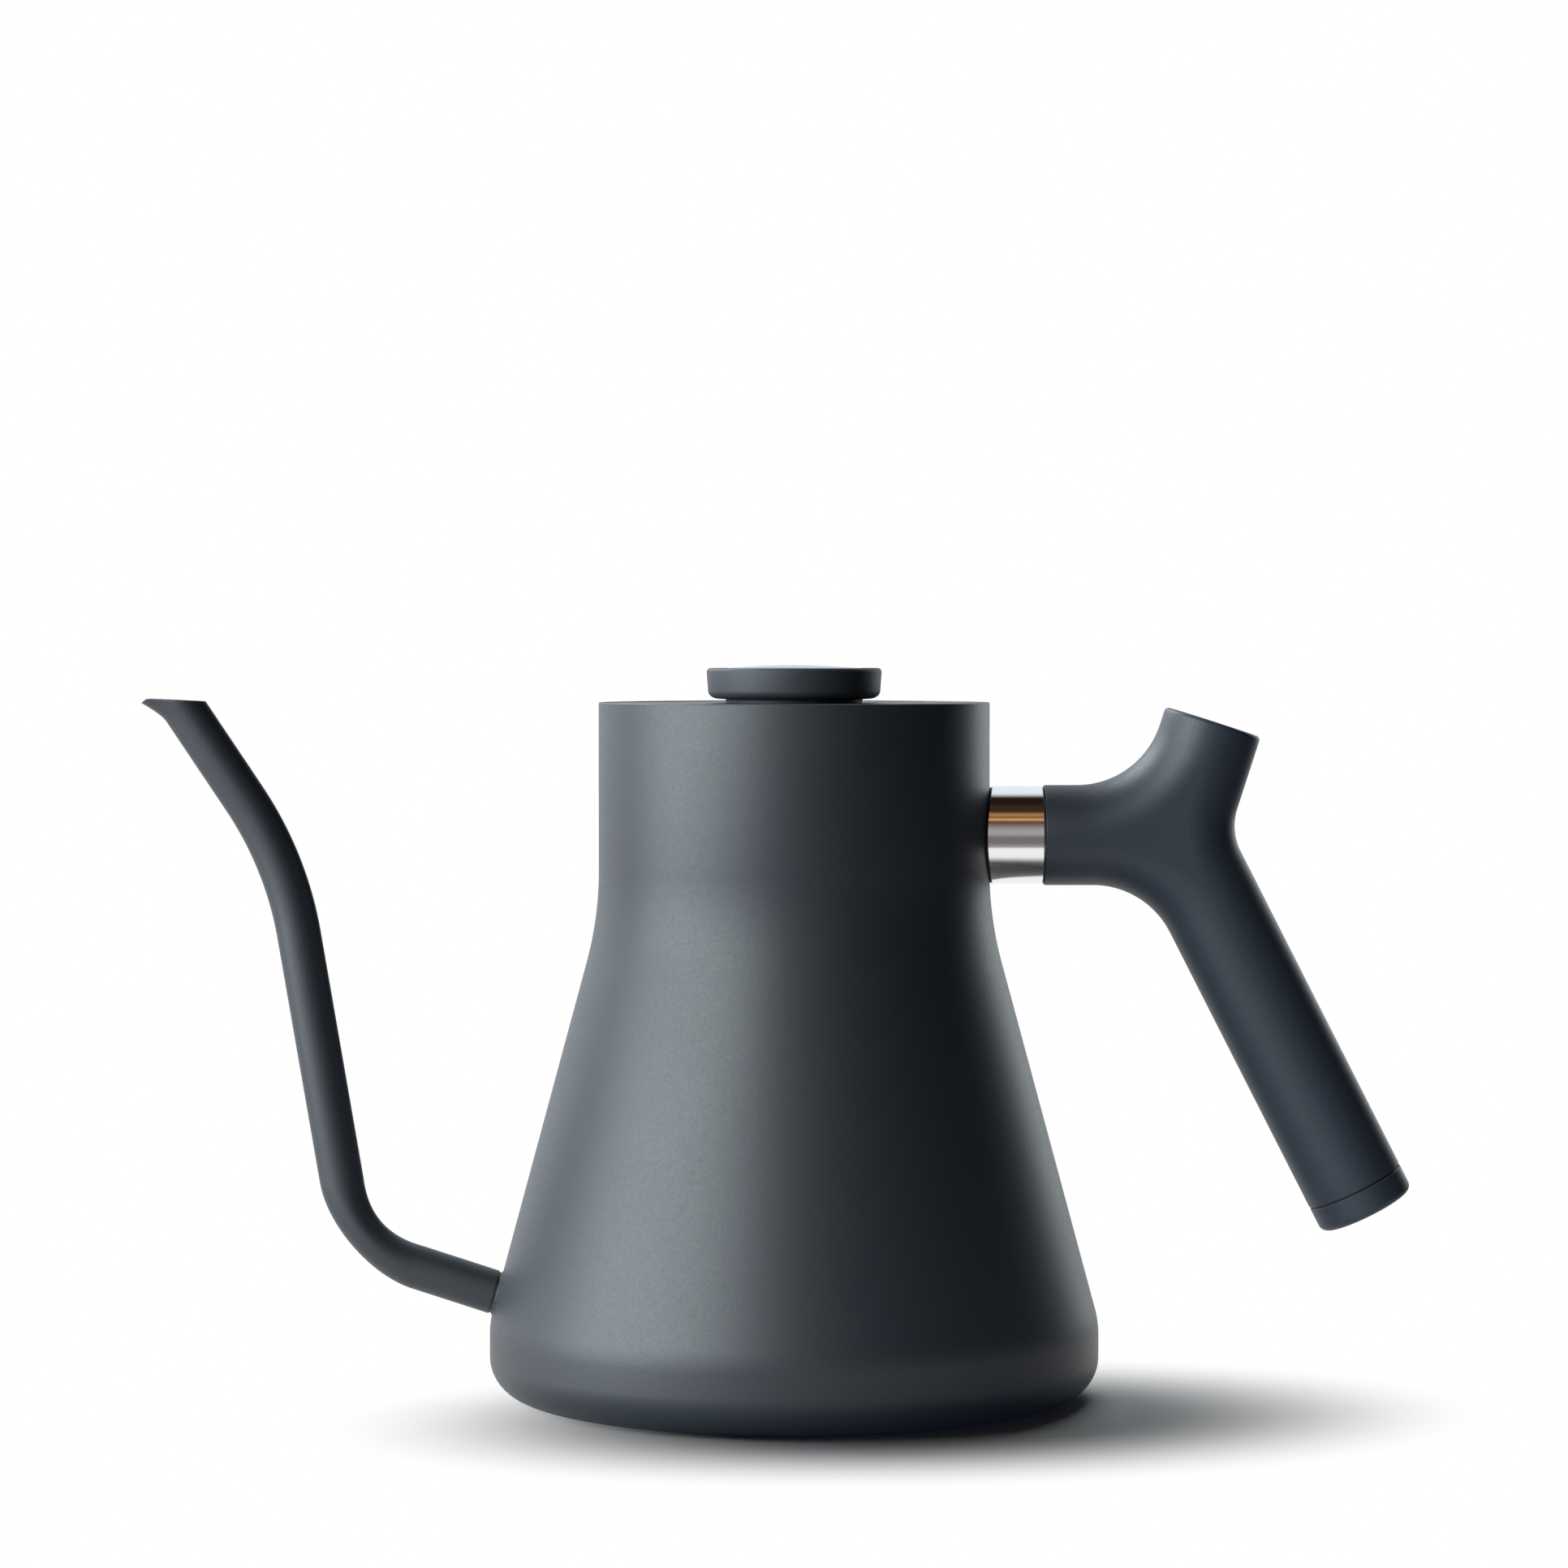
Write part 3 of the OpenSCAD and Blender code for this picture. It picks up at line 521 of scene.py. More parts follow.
@once
def needle_lacquer(name, look):
    # Sprayed orange lacquer on a stamped aluminium needle: smooth with slight orange peel at 0.6 mm.
    made, tree, shader, spot = material(name, IOR=1.5, Coat_Weight=0.2)
    grain(tree, shader, spot, look.needle, 0.6 * MM, 0.01 * MM, 0.06, (0.38, 0.3))
    return made


@once
def lens_glass(name, look):
    # Pressed soda-lime glass: clear, with the faintest smears from handling, three in 25 mm.
    clear = {"IOR": 1.52, "Transmission_Weight": 1.0, "Base_Color": linear("#f7fbfa")}
    made, tree, shader, spot = material(name, **clear)
    smear = add(tree, "ShaderNodeTexNoise", {"Scale": 3 / (25 * MM), "Detail": 3}, {"Vector": spot})
    haze = {"From Min": 0.45, "From Max": 0.8, "To Min": 0.0, "To Max": 0.06}
    shine = add(tree, "ShaderNodeMapRange", haze, {"Value": smear.outputs[0]})
    dress(tree, shader, Roughness=shine.outputs[0])
    return made


# ---- body ----


def belly_height(b):
    """Height where the cone's blend ends and the body is widest."""
    return b.cone_foot_z - b.belly_arc_r * math.tan(b.cone_lean / 2)


def wall_points(b, inset):
    """Points down the body's wall, moved inwards by inset, in three arcs that straight runs join."""
    lean = math.degrees(b.cone_lean)
    neck_z = b.cone_foot_z + (b.belly_r - b.neck_r) / math.tan(b.cone_lean)
    neck_z += b.neck_arc_r * math.tan(b.cone_lean / 2)
    base_x, base_z = b.belly_r - b.base_arc_r, b.underside_z + b.base_arc_r
    neck = arc(b.neck_r + b.neck_arc_r, neck_z, b.neck_arc_r + inset, 180, 180 + lean, 24)
    belly = arc(b.belly_r - b.belly_arc_r, belly_height(b), b.belly_arc_r - inset, lean, 0, 14)
    return neck + belly + arc(base_x, base_z, b.base_arc_r - inset, 0, -90, 12)


def dense(points, low, high, step):
    """Adds points to the straight runs of a path between two heights."""
    out = [points[0]]
    for (x0, z0), (x1, z1) in zip(points, points[1:]):
        top, bottom = min(z0, high), max(z1, low)
        if top - bottom > step * 1.5:
            count = math.ceil((top - bottom) / step)
            for i in range(count + 1):
                z = top + (bottom - top) * i / count
                if z1 + MICRON < z < z0 - MICRON:
                    out.append((x0 + (x1 - x0) * (z0 - z) / (z0 - z1), z))
        out.append((x1, z1))
    return out


def body_radius(b, z):
    """Outside radius of the body at a height near the spout's root."""
    belly_z = belly_height(b)
    if z > belly_z + b.belly_arc_r * math.sin(b.cone_lean):
        return b.belly_r - (z - b.cone_foot_z) * math.tan(b.cone_lean)
    drop = max(z - belly_z, 0)
    return b.belly_r - b.belly_arc_r + math.sqrt(b.belly_arc_r**2 - drop**2)


# The spout's axis leaves the body at this height and slope, and its bore has this radius.
ROOT_Z = 23.5 * MM
ROOT_RISE = math.radians(18)
BORE_R = 4.25 * MM


def to_wall(b, point, out):
    """How far a point moves along the spout's root to lie on the body's wall."""
    along, passes = 0.0, 8
    for _ in range(passes):
        at = point + out * along
        along += (body_radius(b, at.z) - math.hypot(at.x, at.y)) / math.cos(ROOT_RISE)
    return along


def root_frame(b):
    """The point where the spout's axis leaves the body, and the axis' outward direction."""
    return (
        Vector((-body_radius(b, ROOT_Z), 0, ROOT_Z)),
        Vector((-math.cos(ROOT_RISE), 0, math.sin(ROOT_RISE))),
    )


class KETTLE_OT_body(bpy.types.Operator):
    """Drawn steel body: coated outside, bare inside, with the spout's hole through its wall"""

    bl_idname = "kettle.body"
    bl_label = "Body"

    def execute(self, context):
        b = context.scene.kettle_body
        r = b.rim_round
        outer = arc(b.neck_r - r, b.rim_z - r, r, 90, 0, 4) + wall_points(b, 0)
        inner = arc(b.neck_r - b.wall + r, b.rim_z - r, r, 90, 180, 4) + wall_points(b, b.wall)
        cap_r = half_width("base_cap") * MM + 0.1 * MM
        foot = [(cap_r, b.underside_z), (cap_r, b.underside_z + b.wall)]
        # The faces are small round the spout's hole: 0.7 mm high and half a degree wide.
        hole = (14 * MM, 33 * MM, 0.7 * MM)
        points = dense(outer, *hole) + foot + dense(inner, *hole)[::-1]
        bm = lathe(points, spans=[(172, 86), (16, 32), (172, 86)])
        for f in bm.faces:
            middle = f.calc_center_median()
            faces_in = f.normal.x * middle.x + f.normal.y * middle.y < -1e-9
            between = b.underside_z + b.wall / 2 < middle.z < b.rim_z - r
            floor = f.normal.z > 0.5 and middle.z < b.rim_z / 2
            f.material_index = int((faces_in and between) or floor)
        self.open_hole(bm, b)
        finishes = [powder_coat(), spun_steel()]
        piece("body_wall", bm, "kettle", finishes, ["body_shell"])
        return {"FINISHED"}

    @staticmethod
    def open_hole(bm, b):
        """Opens the hole that the spout's bore leads into and joins both skins of the wall round it."""
        root, out = root_frame(b)

        def off(co):
            """How far a point lies from the spout's axis, as a vector."""
            rel = co - root
            return rel - out * rel.dot(out)

        middles = [(f, f.calc_center_median()) for f in bm.faces]
        inside = [f for f, middle in middles if middle.x < 0 and off(middle).length < BORE_R]
        bmesh.ops.delete(bm, geom=inside, context="FACES")
        loops = open_edges(bm)
        for v in {v for e in loops for v in e.verts}:
            away = off(v.co)
            v.co += away.normalized() * (BORE_R - away.length)
        bmesh.ops.bridge_loops(bm, edges=loops)
        bmesh.ops.recalc_face_normals(bm, faces=bm.faces)


class KETTLE_OT_base(bpy.types.Operator):
    """Pressed cap that the kettle stands on, the core and floor over it, and the neck's seat ring"""

    bl_idname = "kettle.base"
    bl_label = "Base cap"

    def execute(self, context):
        r = half_width("base_cap") * MM
        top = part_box("base_cap")[1].z
        edge, half, deep = 0.25 * MM, 1.1 * MM, 0.22 * MM
        points = [(0, top), (r - edge, top)] + arc(r - edge, top - edge, edge, 90, 0, 3)[1:]
        points += arc(r - edge, edge, edge, 0, -90, 3)
        for ring_r in range(50, 13, -6):
            at = ring_r * MM
            points += [(at + half, 0), (at + half * 0.6, deep), (at - half * 0.6, deep), (at - half, 0)]
        dish_r, dish = 9 * MM, 0.3 * MM
        points += [(dish_r, 0), (dish_r - 2 * dish, dish), (0, dish)]
        bm = lathe(points, steps=160, closed=False)
        piece("base_plate", bm, "kettle", [spun_steel()], ["base_cap"], sharp=50)
        for node in ("body_floor", "seat_ring"):
            piece(f"{node}_sheet", cad_copy(node), "kettle", [spun_steel()], [node])
        paint("base_core", rolled_aluminium())
        return {"FINISHED"}


def paint(node, finish):
    """Gives a CAD node that stays as it is its material."""
    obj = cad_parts[node]
    obj.data.materials.clear()
    obj.data.materials.append(finish)


# ---- spout ----


# The tube's axis, in millimetres outwards from the kettle's axis and up: three straight runs with their
# slopes in degrees, the corners where the runs would meet, and the radius of the bend at each corner.
RISE, MIDDLE, TIP = math.degrees(ROOT_RISE), 80.3, 56.3
CORNER_1, CORNER_2 = (101.84, 34.31), (117.07, 123.43)
BEND_1, BEND_2 = 25.6, 81.0
LIP_FOOT_Z, MOUTH_Z = 155.8, 160.5


def slope(degrees):
    """Unit step (outwards, up) at a slope."""
    return math.cos(math.radians(degrees)), math.sin(math.radians(degrees))


def walk(start, length, degrees):
    """A point at a distance from another along a slope."""
    return [c + length * u for c, u in zip(start, slope(degrees))]


def spout_path():
    """Stations (outwards, up, slope in degrees, share of the bend's flattening) along the tube's axis."""
    cut_1 = BEND_1 * math.tan(math.radians((MIDDLE - RISE) / 2))
    cut_2 = BEND_2 * math.tan(math.radians((MIDDLE - TIP) / 2))
    root = (68.55, ROOT_Z / MM)
    stations = [(*walk(root, along, RISE), RISE, 0) for along in (0, 0.2, 0.4, 0.6, 0.8, 6, 9)]
    centre = walk(walk(CORNER_1, -cut_1, RISE), BEND_1, RISE + 90)
    count = 28
    for i in range(count + 1):
        a = RISE + (MIDDLE - RISE) * i / count
        stations.append((*walk(centre, BEND_1, a - 90), a, math.sin(math.pi * i / count) ** 1.4))
    x, z = stations[-1][:2]
    end = walk(CORNER_2, -cut_2, MIDDLE)
    for i in (0.33, 0.67):
        stations.append((x + (end[0] - x) * i, z + (end[1] - z) * i, MIDDLE, 0))
    centre = walk(end, -BEND_2, MIDDLE + 90)
    count = 20
    for i in range(count + 1):
        a = MIDDLE + (TIP - MIDDLE) * i / count
        stations.append((*walk(centre, BEND_2, a + 90), a, 0))
    # The stations are close from 9 mm under the mouth to 7.5 mm over it, where the tube is cut off later.
    start = walk(CORNER_2, cut_2, TIP)
    fine, last = ((z - start[1]) / slope(TIP)[1] for z in (MOUTH_Z - 9, MOUTH_Z + 7.5))
    count = 24
    for along in [fine * 0.5] + [fine + (last - fine) * i / count for i in range(count + 1)]:
        stations.append((*walk(start, along, TIP), TIP, 0))
    return stations


class KETTLE_OT_spout(bpy.types.Operator):
    """Bent spout tube, flattened in its tight bend, with its pouring lip and the weld at its root"""

    bl_idname = "kettle.spout"
    bl_label = "Spout"
    sides = 96

    def execute(self, context):
        s, b = context.scene.kettle_spout, context.scene.kettle_body
        bm = bmesh.new()
        matrices = []
        for x, z, a, flat in spout_path():
            a = math.radians(a)
            across = s.tube_r - s.flattening / 2 * flat
            wide_r = s.tube_r + s.flattening / 2 * flat * 0.6
            n = Vector((math.sin(a), 0, math.cos(a)))
            t = Vector((-math.cos(a), 0, math.sin(a)))
            m = Matrix((n * across, Vector((0, wide_r, 0)), t)).transposed().to_4x4()
            m.translation = Vector((-x, 0, z)) * MM
            matrices.append(m)
        rings(bm, self.sides, matrices)
        self.seat(bm, b)
        self.lean_out(bm, s)
        bmesh.ops.recalc_face_normals(bm, faces=bm.faces)
        bmesh.ops.solidify(bm, geom=bm.faces[:], thickness=s.wall)
        self.cut_mouth(bm)
        clean(bm)
        piece("spout_tube_skin", bm, "kettle", [powder_coat()], ["spout_tube"], sharp=50)
        piece("spout_weld", self.weld(s, b), "kettle", [powder_coat()])
        return {"FINISHED"}

    def seat(self, bm, b):
        """Fits the tube's first rings to the body's wall, with a shallow groove beside the weld."""
        root, out = root_frame(b)
        # For each ring: millimetres out from the wall, and share of the tube's radius.
        steps = [(-0.35, 1), (0.15, 1), (0.25, 0.95), (0.8, 0.95), (0.95, 1)]
        bm.verts.index_update()
        for v in bm.verts:
            ring = v.index // self.sides
            if ring < len(steps):
                along, width = steps[ring]
                axis = root + out * (v.co - root).dot(out)
                v.co = axis + (v.co - axis) * width
                v.co += out * (to_wall(b, v.co, out) + along * MM)

    @staticmethod
    def lean_out(bm, s):
        """Leans the front of the mouth out into a pouring lip."""
        # Half the slanted tube's width, and the height over which it leans out, in millimetres.
        half, ease = 6.07, 4
        for v in bm.verts:
            z = v.co.z / MM
            if z > LIP_FOOT_Z and v.co.x < -130 * MM:
                axis_x = -(CORNER_2[0] + (z - CORNER_2[1]) * math.tan(math.radians(90 - TIP)))
                front = (axis_x - v.co.x / MM) / half
                rise = min((z - LIP_FOOT_Z) / ease, 1.5)
                v.co.x -= s.beak * max(front, 0) ** 2.2 * rise**1.5

    @staticmethod
    def cut_mouth(bm):
        """Cuts the mouth almost level and its lip at a slant, closes the cut and breaks its edges."""
        tilt = math.radians(2.5)
        for point, normal in (
            ((-141.8, 0, MOUTH_Z), (math.sin(tilt), 0, math.cos(tilt))),
            ((-149.6, 0, MOUTH_Z - 0.25), (-0.54, 0, 0.84)),
        ):
            bmesh.ops.bisect_plane(
                bm, geom=bm.verts[:] + bm.edges[:] + bm.faces[:], dist=1e-7,
                plane_co=Vector(point) * MM, plane_no=normal, clear_outer=True,
            )
        rim = [e for e in open_edges(bm) if e.verts[0].co.z > 150 * MM]
        bmesh.ops.bridge_loops(bm, edges=rim)
        bmesh.ops.recalc_face_normals(bm, faces=bm.faces)
        corners = [e for e in corner_edges(bm, 40) if min(v.co.z for v in e.verts) > 157 * MM]
        bevel(bm, corners, 0.16 * MM)

    def weld(self, s, b):
        """A small fillet where the tube meets the wall, closed like a bent ring."""
        root, out = root_frame(b)
        side = Vector((0, 1, 0))
        up = side.cross(out)
        w, r = s.weld, s.tube_r
        # Radius and distance out from the wall of each ring, round the fillet's section.
        section = [
            (r + w * 1.1, -0.12 * MM), (r + w * 1.1, 0.02 * MM), (r + w * 0.55, w * 0.16),
            (r + w * 0.22, w * 0.45), (r + 0.02 * MM, w), (r - 0.2 * MM, w), (r - 0.2 * MM, -0.12 * MM),
        ]
        bm = bmesh.new()
        turn = Matrix((up, side, out)).transposed().to_4x4()
        turn.translation = root
        stations = [turn @ Matrix.Diagonal((ring_r, ring_r, 1, 1)) for ring_r, _ in section]
        start, end = rings(bm, self.sides, stations)
        bm.verts.index_update()
        for v in bm.verts:
            v.co += out * (to_wall(b, v.co, out) + section[v.index // self.sides][1])
        bmesh.ops.bridge_loops(bm, edges=start + end)
        bmesh.ops.recalc_face_normals(bm, faces=bm.faces)
        return bm


# ---- lid and thermometer ----


class KETTLE_OT_lid(bpy.types.Operator):
    """Lid plate, the cup under it and its gasket"""

    bl_idname = "kettle.lid"
    bl_label = "Lid"

    def execute(self, context):
        disc = cad_copy("lid_plate", 0.3 * MM)
        piece("lid_disc", disc, "lid", [powder_coat()], ["lid_plate"])
        cup = cad_copy("lid_liner", 0.12 * MM)
        piece("lid_cup", cup, "lid", [spun_steel()], ["lid_liner"])
        low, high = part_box("lid_gasket")
        r, z0, z1 = high.x, low.z, high.z
        inner_r, fin, groove = 41.7 * MM, 0.45 * MM, 0.75 * MM
        points = [(inner_r, z0), (r - fin, z0)]
        points += arc(r - fin, z0 + fin, fin, -90, 90, 6)[1:]
        points += arc(r - groove, (z0 + z1) / 2, (z1 - z0) / 2 - 2 * fin, -90, -270, 6)
        points += arc(r - fin, z1 - fin, fin, -90, 90, 6) + [(inner_r, z1)]
        bm = lathe(points, steps=160)
        piece("gasket_ring", bm, "gasket", [silicone_rubber()], ["lid_gasket"])
        return {"FINISHED"}


class KETTLE_OT_knob(bpy.types.Operator):
    """Knob case, glass and spacer of the thermometer"""

    bl_idname = "kettle.knob"
    bl_label = "Knob"

    def execute(self, context):
        low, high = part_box("knob_case")
        z0, z1, r = low.z, high.z, high.x
        bore_r, seat_r, lip = 4.1 * MM, 15.7 * MM, 0.15 * MM
        points = [(bore_r, z0), (seat_r - lip, z0), (seat_r, z0 + 0.12 * MM)]
        points += arc(18.6 * MM, z0 + 0.1 * MM, 2.9 * MM, 176, 150, 4)
        # The flank swells like a quarter of an ellipse, from the undercut to the rounded top edge.
        foot_r, foot_z, swell, swell_z = 17.3 * MM, z0 + MM, 2.55 * MM, 1.9 * MM
        points += [(foot_r - 0.2 * MM, foot_z - 0.02 * MM), (foot_r, foot_z)]
        for a in (math.radians(degree) for degree in range(10, 91, 10)):
            points.append((foot_r + swell * math.sin(a), foot_z + swell_z * (1 - math.cos(a))))
        edge = 0.9 * MM
        points += arc(r - edge, z1 - edge, edge, 0, 90, 8)
        points += arc(18.8 * MM, z1 - lip, lip, 90, 180, 2)
        # Inside, a ledge carries the glass, and the dial lies on the floor of the pocket.
        pocket_r, pocket_z, ledge_z = 18.15 * MM, 161.4 * MM, 166.5 * MM
        points += [(pocket_r + 0.5 * MM, ledge_z), (pocket_r, ledge_z)]
        points += [(pocket_r, pocket_z), (bore_r, pocket_z)]
        bm = lathe(points, steps=220)
        piece("knob_shell", bm, "lid", [soft_touch_paint()], ["knob_case"])
        low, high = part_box("dial_lens")
        r, z0, z1 = high.x, low.z, high.z
        dome, nick = 1 * MM, 0.1 * MM
        dome_r = (r**2 + dome**2) / (2 * dome)
        half = math.degrees(math.asin((r - 1.5 * nick) / dome_r))
        points = [(0, z0), (r - nick, z0), (r, z0 + nick), (r, z1 - dome - nick)]
        points += arc(0, z1 - dome_r, dome_r, 90 - half, 90, 16)
        bm = lathe(points, steps=128, closed=False)
        piece("dial_glass_dome", bm, "lid", [lens_glass()], ["dial_lens"])
        bm = cad_copy("dial_spacer", 0.1 * MM)
        piece("dial_bezel", bm, "lid", [spun_steel()], ["dial_spacer"])
        return {"FINISHED"}


class KETTLE_OT_dial(bpy.types.Operator):
    """Printed dial with ticks and numbers from 10 to 100, its brewing band and the needle"""

    bl_idname = "kettle.dial"
    bl_label = "Dial and needle"
    ink = 0.02 * MM

    def execute(self, context):
        bm = cad_copy("dial_face", 0.05 * MM)
        piece("dial_plate", bm, "lid", [dial_enamel()], ["dial_face"])
        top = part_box("dial_face")[1].z
        bm = bmesh.new()
        outer_r = 15.2
        for degree in range(10, 101, 2):
            length, breadth = (2.0, 0.32) if degree % 10 == 0 else (1.1, 0.16)
            tick = bmesh.ops.create_cube(bm, size=1)["verts"]
            turn = Matrix.Rotation(self.bearing(degree), 4, "Z")
            out = Matrix.Translation(((outer_r - length / 2) * MM, 0, top + self.ink / 2))
            shape = Matrix.Diagonal((length * MM, breadth * MM, self.ink, 1))
            place(bm, turn @ out @ shape, tick)
        piece("dial_ticks", bm, "lid", [dial_ink()])
        piece("dial_numbers", self.numbers(top), "lid", [dial_ink()])
        piece("dial_band", self.band(top), "lid", [band_ink()])
        bm = cad_copy("needle", 0.08 * MM)
        piece("needle_blade", bm, "pointer", [needle_lacquer()], ["needle"])
        return {"FINISHED"}

    @staticmethod
    def bearing(degree):
        """Angle on the dial, clockwise from the needle's rest at 10 degrees of heat."""
        return math.radians(225 - 3 * (degree - 10))

    def numbers(self, top):
        """The numbers at the major ticks, as one flat mesh."""
        bm = bmesh.new()
        r, height = 11.3 * MM, 2.5 * MM
        for degree in range(10, 101, 10):
            text = bpy.data.curves.new("number", "FONT")
            text.body = str(degree)
            text.size = height
            text.align_x, text.align_y = "CENTER", "CENTER"
            text.resolution_u = 4
            text.extrude = self.ink / 2
            obj = bpy.data.objects.new("number", text)
            mesh = bpy.data.meshes.new_from_object(obj)
            a = self.bearing(degree)
            mesh.transform(Matrix.Translation((r * math.cos(a), r * math.sin(a), top + self.ink)))
            bm.from_mesh(mesh)
            bpy.data.objects.remove(obj)
            bpy.data.curves.remove(text)
            bpy.data.meshes.remove(mesh)
        clean(bm)
        bmesh.ops.dissolve_degenerate(bm, edges=bm.edges, dist=2 * MICRON)
        return bm

    def band(self, top):
        """A thin arc over the brewing range, 85 to 96 degrees of heat."""
        bm = bmesh.new()
        r0, r1, z0, z1 = 15.7 * MM, 16.6 * MM, top, top + self.ink
        geom = profile(bm, [(r0, z0), (r1, z0), (r1, z1), (r0, z1)])
        hot, cool = self.bearing(96), self.bearing(85)
        bmesh.ops.rotate(bm, verts=bm.verts, cent=(0, 0, 0), matrix=Matrix.Rotation(hot, 3, "Z"))
        bmesh.ops.spin(
            bm, geom=geom, cent=(0, 0, 0), axis=(0, 0, 1), dvec=(0, 0, 0),
            angle=cool - hot, steps=24, use_merge=False,
        )
        bmesh.ops.holes_fill(bm, edges=open_edges(bm), sides=0)
        clean(bm)
        return bm


class KETTLE_OT_probe(bpy.types.Operator):
    """Thermometer probe under the lid, its nut and washer, and the spindle and coil inside it"""

    bl_idname = "kettle.probe"
    bl_label = "Probe"

    def execute(self, context):
        for node, name, slot, finish in (
            ("probe_tube", "probe_sheath", "brushed_steel", machined_steel()),
            ("probe_nut", "probe_hex_nut", "brushed_steel", machined_steel()),
            ("probe_washer", "probe_seal", "silicone", silicone_rubber()),
        ):
            piece(name, cad_copy(node, 0.15 * MM), "lid", [finish], [node])
        paint("spindle", machined_steel())
        paint("bimetal_coil", bimetal_strip())
        return {"FINISHED"}


# ---- handle ----


# The point where the centrelines of arm, horn and leg meet, their headings in the X-Z plane, where the
# arm starts, the lengths of horn and leg, and the depth of the plug's seat in the horn.
FORK = Vector((88.1, 0, 129.4)) * MM
ARM_A, HORN_A, LEG_A = math.pi, math.radians(72.2), math.radians(-63)
GRIP_X = 57.5 * MM
HORN_LEN, LEG_LEN = 27.4 * MM, 90.7 * MM
PLUG_DEPTH = 2.4 * MM


def heading(a):
    """Unit vector at an angle of the X-Z plane."""
    return Vector((math.cos(a), 0, math.sin(a)))


class KETTLE_OT_grip(bpy.types.Operator):
    """Moulded fork of arm, thumb horn and leg, as one smooth skin, and the plug in the horn"""

    bl_idname = "kettle.grip"
    bl_label = "Grip"
    # How far round a branch each row of the skin lies, from the outline to the centreline.
    turns = [math.radians(a) for a in (*range(4, 88, 4), 88.5, 89.7, 90)]

    def execute(self, context):
        h = context.scene.kettle_handle
        arm = self.branch(FORK.x - GRIP_X, h.arm_r, 0.25 * MM)
        horn = self.branch(HORN_LEN, h.horn_r, h.horn_round)
        leg = self.branch(LEG_LEN, h.leg_r, 0.2 * MM)
        bm = bmesh.new()
        self.side(bm, (ARM_A, arm), (HORN_A, horn), h.crotch_r, h.leg_r)
        self.side(bm, (HORN_A, horn), (LEG_A, leg), h.back_r, h.leg_r)
        self.side(bm, (LEG_A, leg), (ARM_A - 2 * math.pi, arm), h.crotch_r, h.leg_r)
        bmesh.ops.remove_doubles(bm, verts=bm.verts, dist=MICRON)
        # The three sides meet in a small three-cornered gap on the flank, which is closed by one face.
        widest = -0.99999 * h.leg_r
        gap = [e for e in open_edges(bm) if all(v.co.y < widest for v in e.verts)]
        bmesh.ops.contextual_create(bm, geom=gap)
        bmesh.ops.mirror(
            bm, geom=bm.verts[:] + bm.edges[:] + bm.faces[:], matrix=Matrix.Identity(4),
            merge_dist=MICRON, axis="Y",
        )
        bmesh.ops.remove_doubles(bm, verts=bm.verts, dist=MICRON)
        ends = bmesh.ops.holes_fill(bm, edges=open_edges(bm), sides=0)["faces"]
        bmesh.ops.recalc_face_normals(bm, faces=bm.faces)
        top = max(ends, key=lambda f: f.calc_center_median().z)
        self.plug_hole(bm, top, h)
        piece("grip_fork", bm, "kettle", [moulded_nylon()], ["handle_grip"])
        r, deep, edge = 5.95 * MM, PLUG_DEPTH - 0.1 * MM, 0.25 * MM
        points = [(0, 0), (r, 0), (r, deep - edge)]
        points += arc(r - edge, deep - edge, edge, 0, 90, 4)[1:] + [(0, deep)]
        bm = lathe(points, steps=64, closed=False)
        on_leg(bm, FORK + heading(HORN_A) * (HORN_LEN - PLUG_DEPTH), HORN_A)
        piece("horn_plug_cap", bm, "kettle", [moulded_nylon()], ["horn_plug"])
        return {"FINISHED"}

    @staticmethod
    def branch(length, r, edge):
        """Stations (distance from the fork, radius) over the rounded edge at a branch's end."""
        return arc(length - edge, r - edge, edge, 0, 90, 5)

    def side(self, bm, first, second, inside_r, depth):
        """The skin between two neighbouring branches, from the outline in to their centrelines."""
        (a0, ends_0), (a1, ends_1) = first, second
        spread = abs(a0 - a1)
        tube = (ends_0[-1][1] + ends_1[-1][1]) / 2
        reach = (inside_r + tube) / math.tan(spread / 2)
        middle = (a0 + a1) / 2
        centre = FORK + heading(middle) * ((inside_r + tube) / math.sin(spread / 2))
        stations = self.straight(a0, ends_0, reach, middle, depth)
        count = 28
        for i in range(1, count):
            a = a0 + math.pi / 2 + (math.pi - spread) * i / count
            w = ends_0[-1][1] + (ends_1[-1][1] - ends_0[-1][1]) * i / count
            stations.append((centre + heading(a) * (inside_r + tube), -heading(a), w, depth))
        stations += list(reversed(self.straight(a1, ends_1, reach, middle, depth)))
        verts = [bm.verts.new(c + n * w) for c, n, w, _ in stations]
        edges = [bm.edges.new(pair) for pair in zip(verts, verts[1:])]
        for t in self.turns:
            fresh, edges = extrude(bm, edges)
            beside = [[e.other_vert(v) for e in v.link_edges] for v in verts]
            verts = [next(other for other in row if other in fresh) for row in beside]
            for v, (c, n, w, y) in zip(verts, stations):
                v.co = c + n * (w * math.cos(t)) - Vector((0, y * math.sin(t), 0))

    def straight(self, a, ends, reach, middle, depth):
        """Stations on the straight part of a branch, down to the start of its blend."""
        out = heading(a)
        n = heading(a + math.pi / 2)
        if n.dot(heading(middle)) < 0:
            n = -n
        length, full = ends[-1]
        near, apart = 1e-9, 5 * MM
        # Both sides of a branch get a station wherever either side's blend starts, so that they meet.
        stops = [d for d in self.reaches() if reach - near <= d < length]
        count = max(2, round((length - stops[0]) / apart))
        plain = [length - (length - stops[0]) * i / count for i in range(1, count + 1)]
        distances = plain + [d for d in stops if d < stops[0] - near]
        placed = [(FORK + out * d, n, r, depth * r / full) for d, r in ends]
        return placed + [(FORK + out * d, n, full, depth) for d in distances]

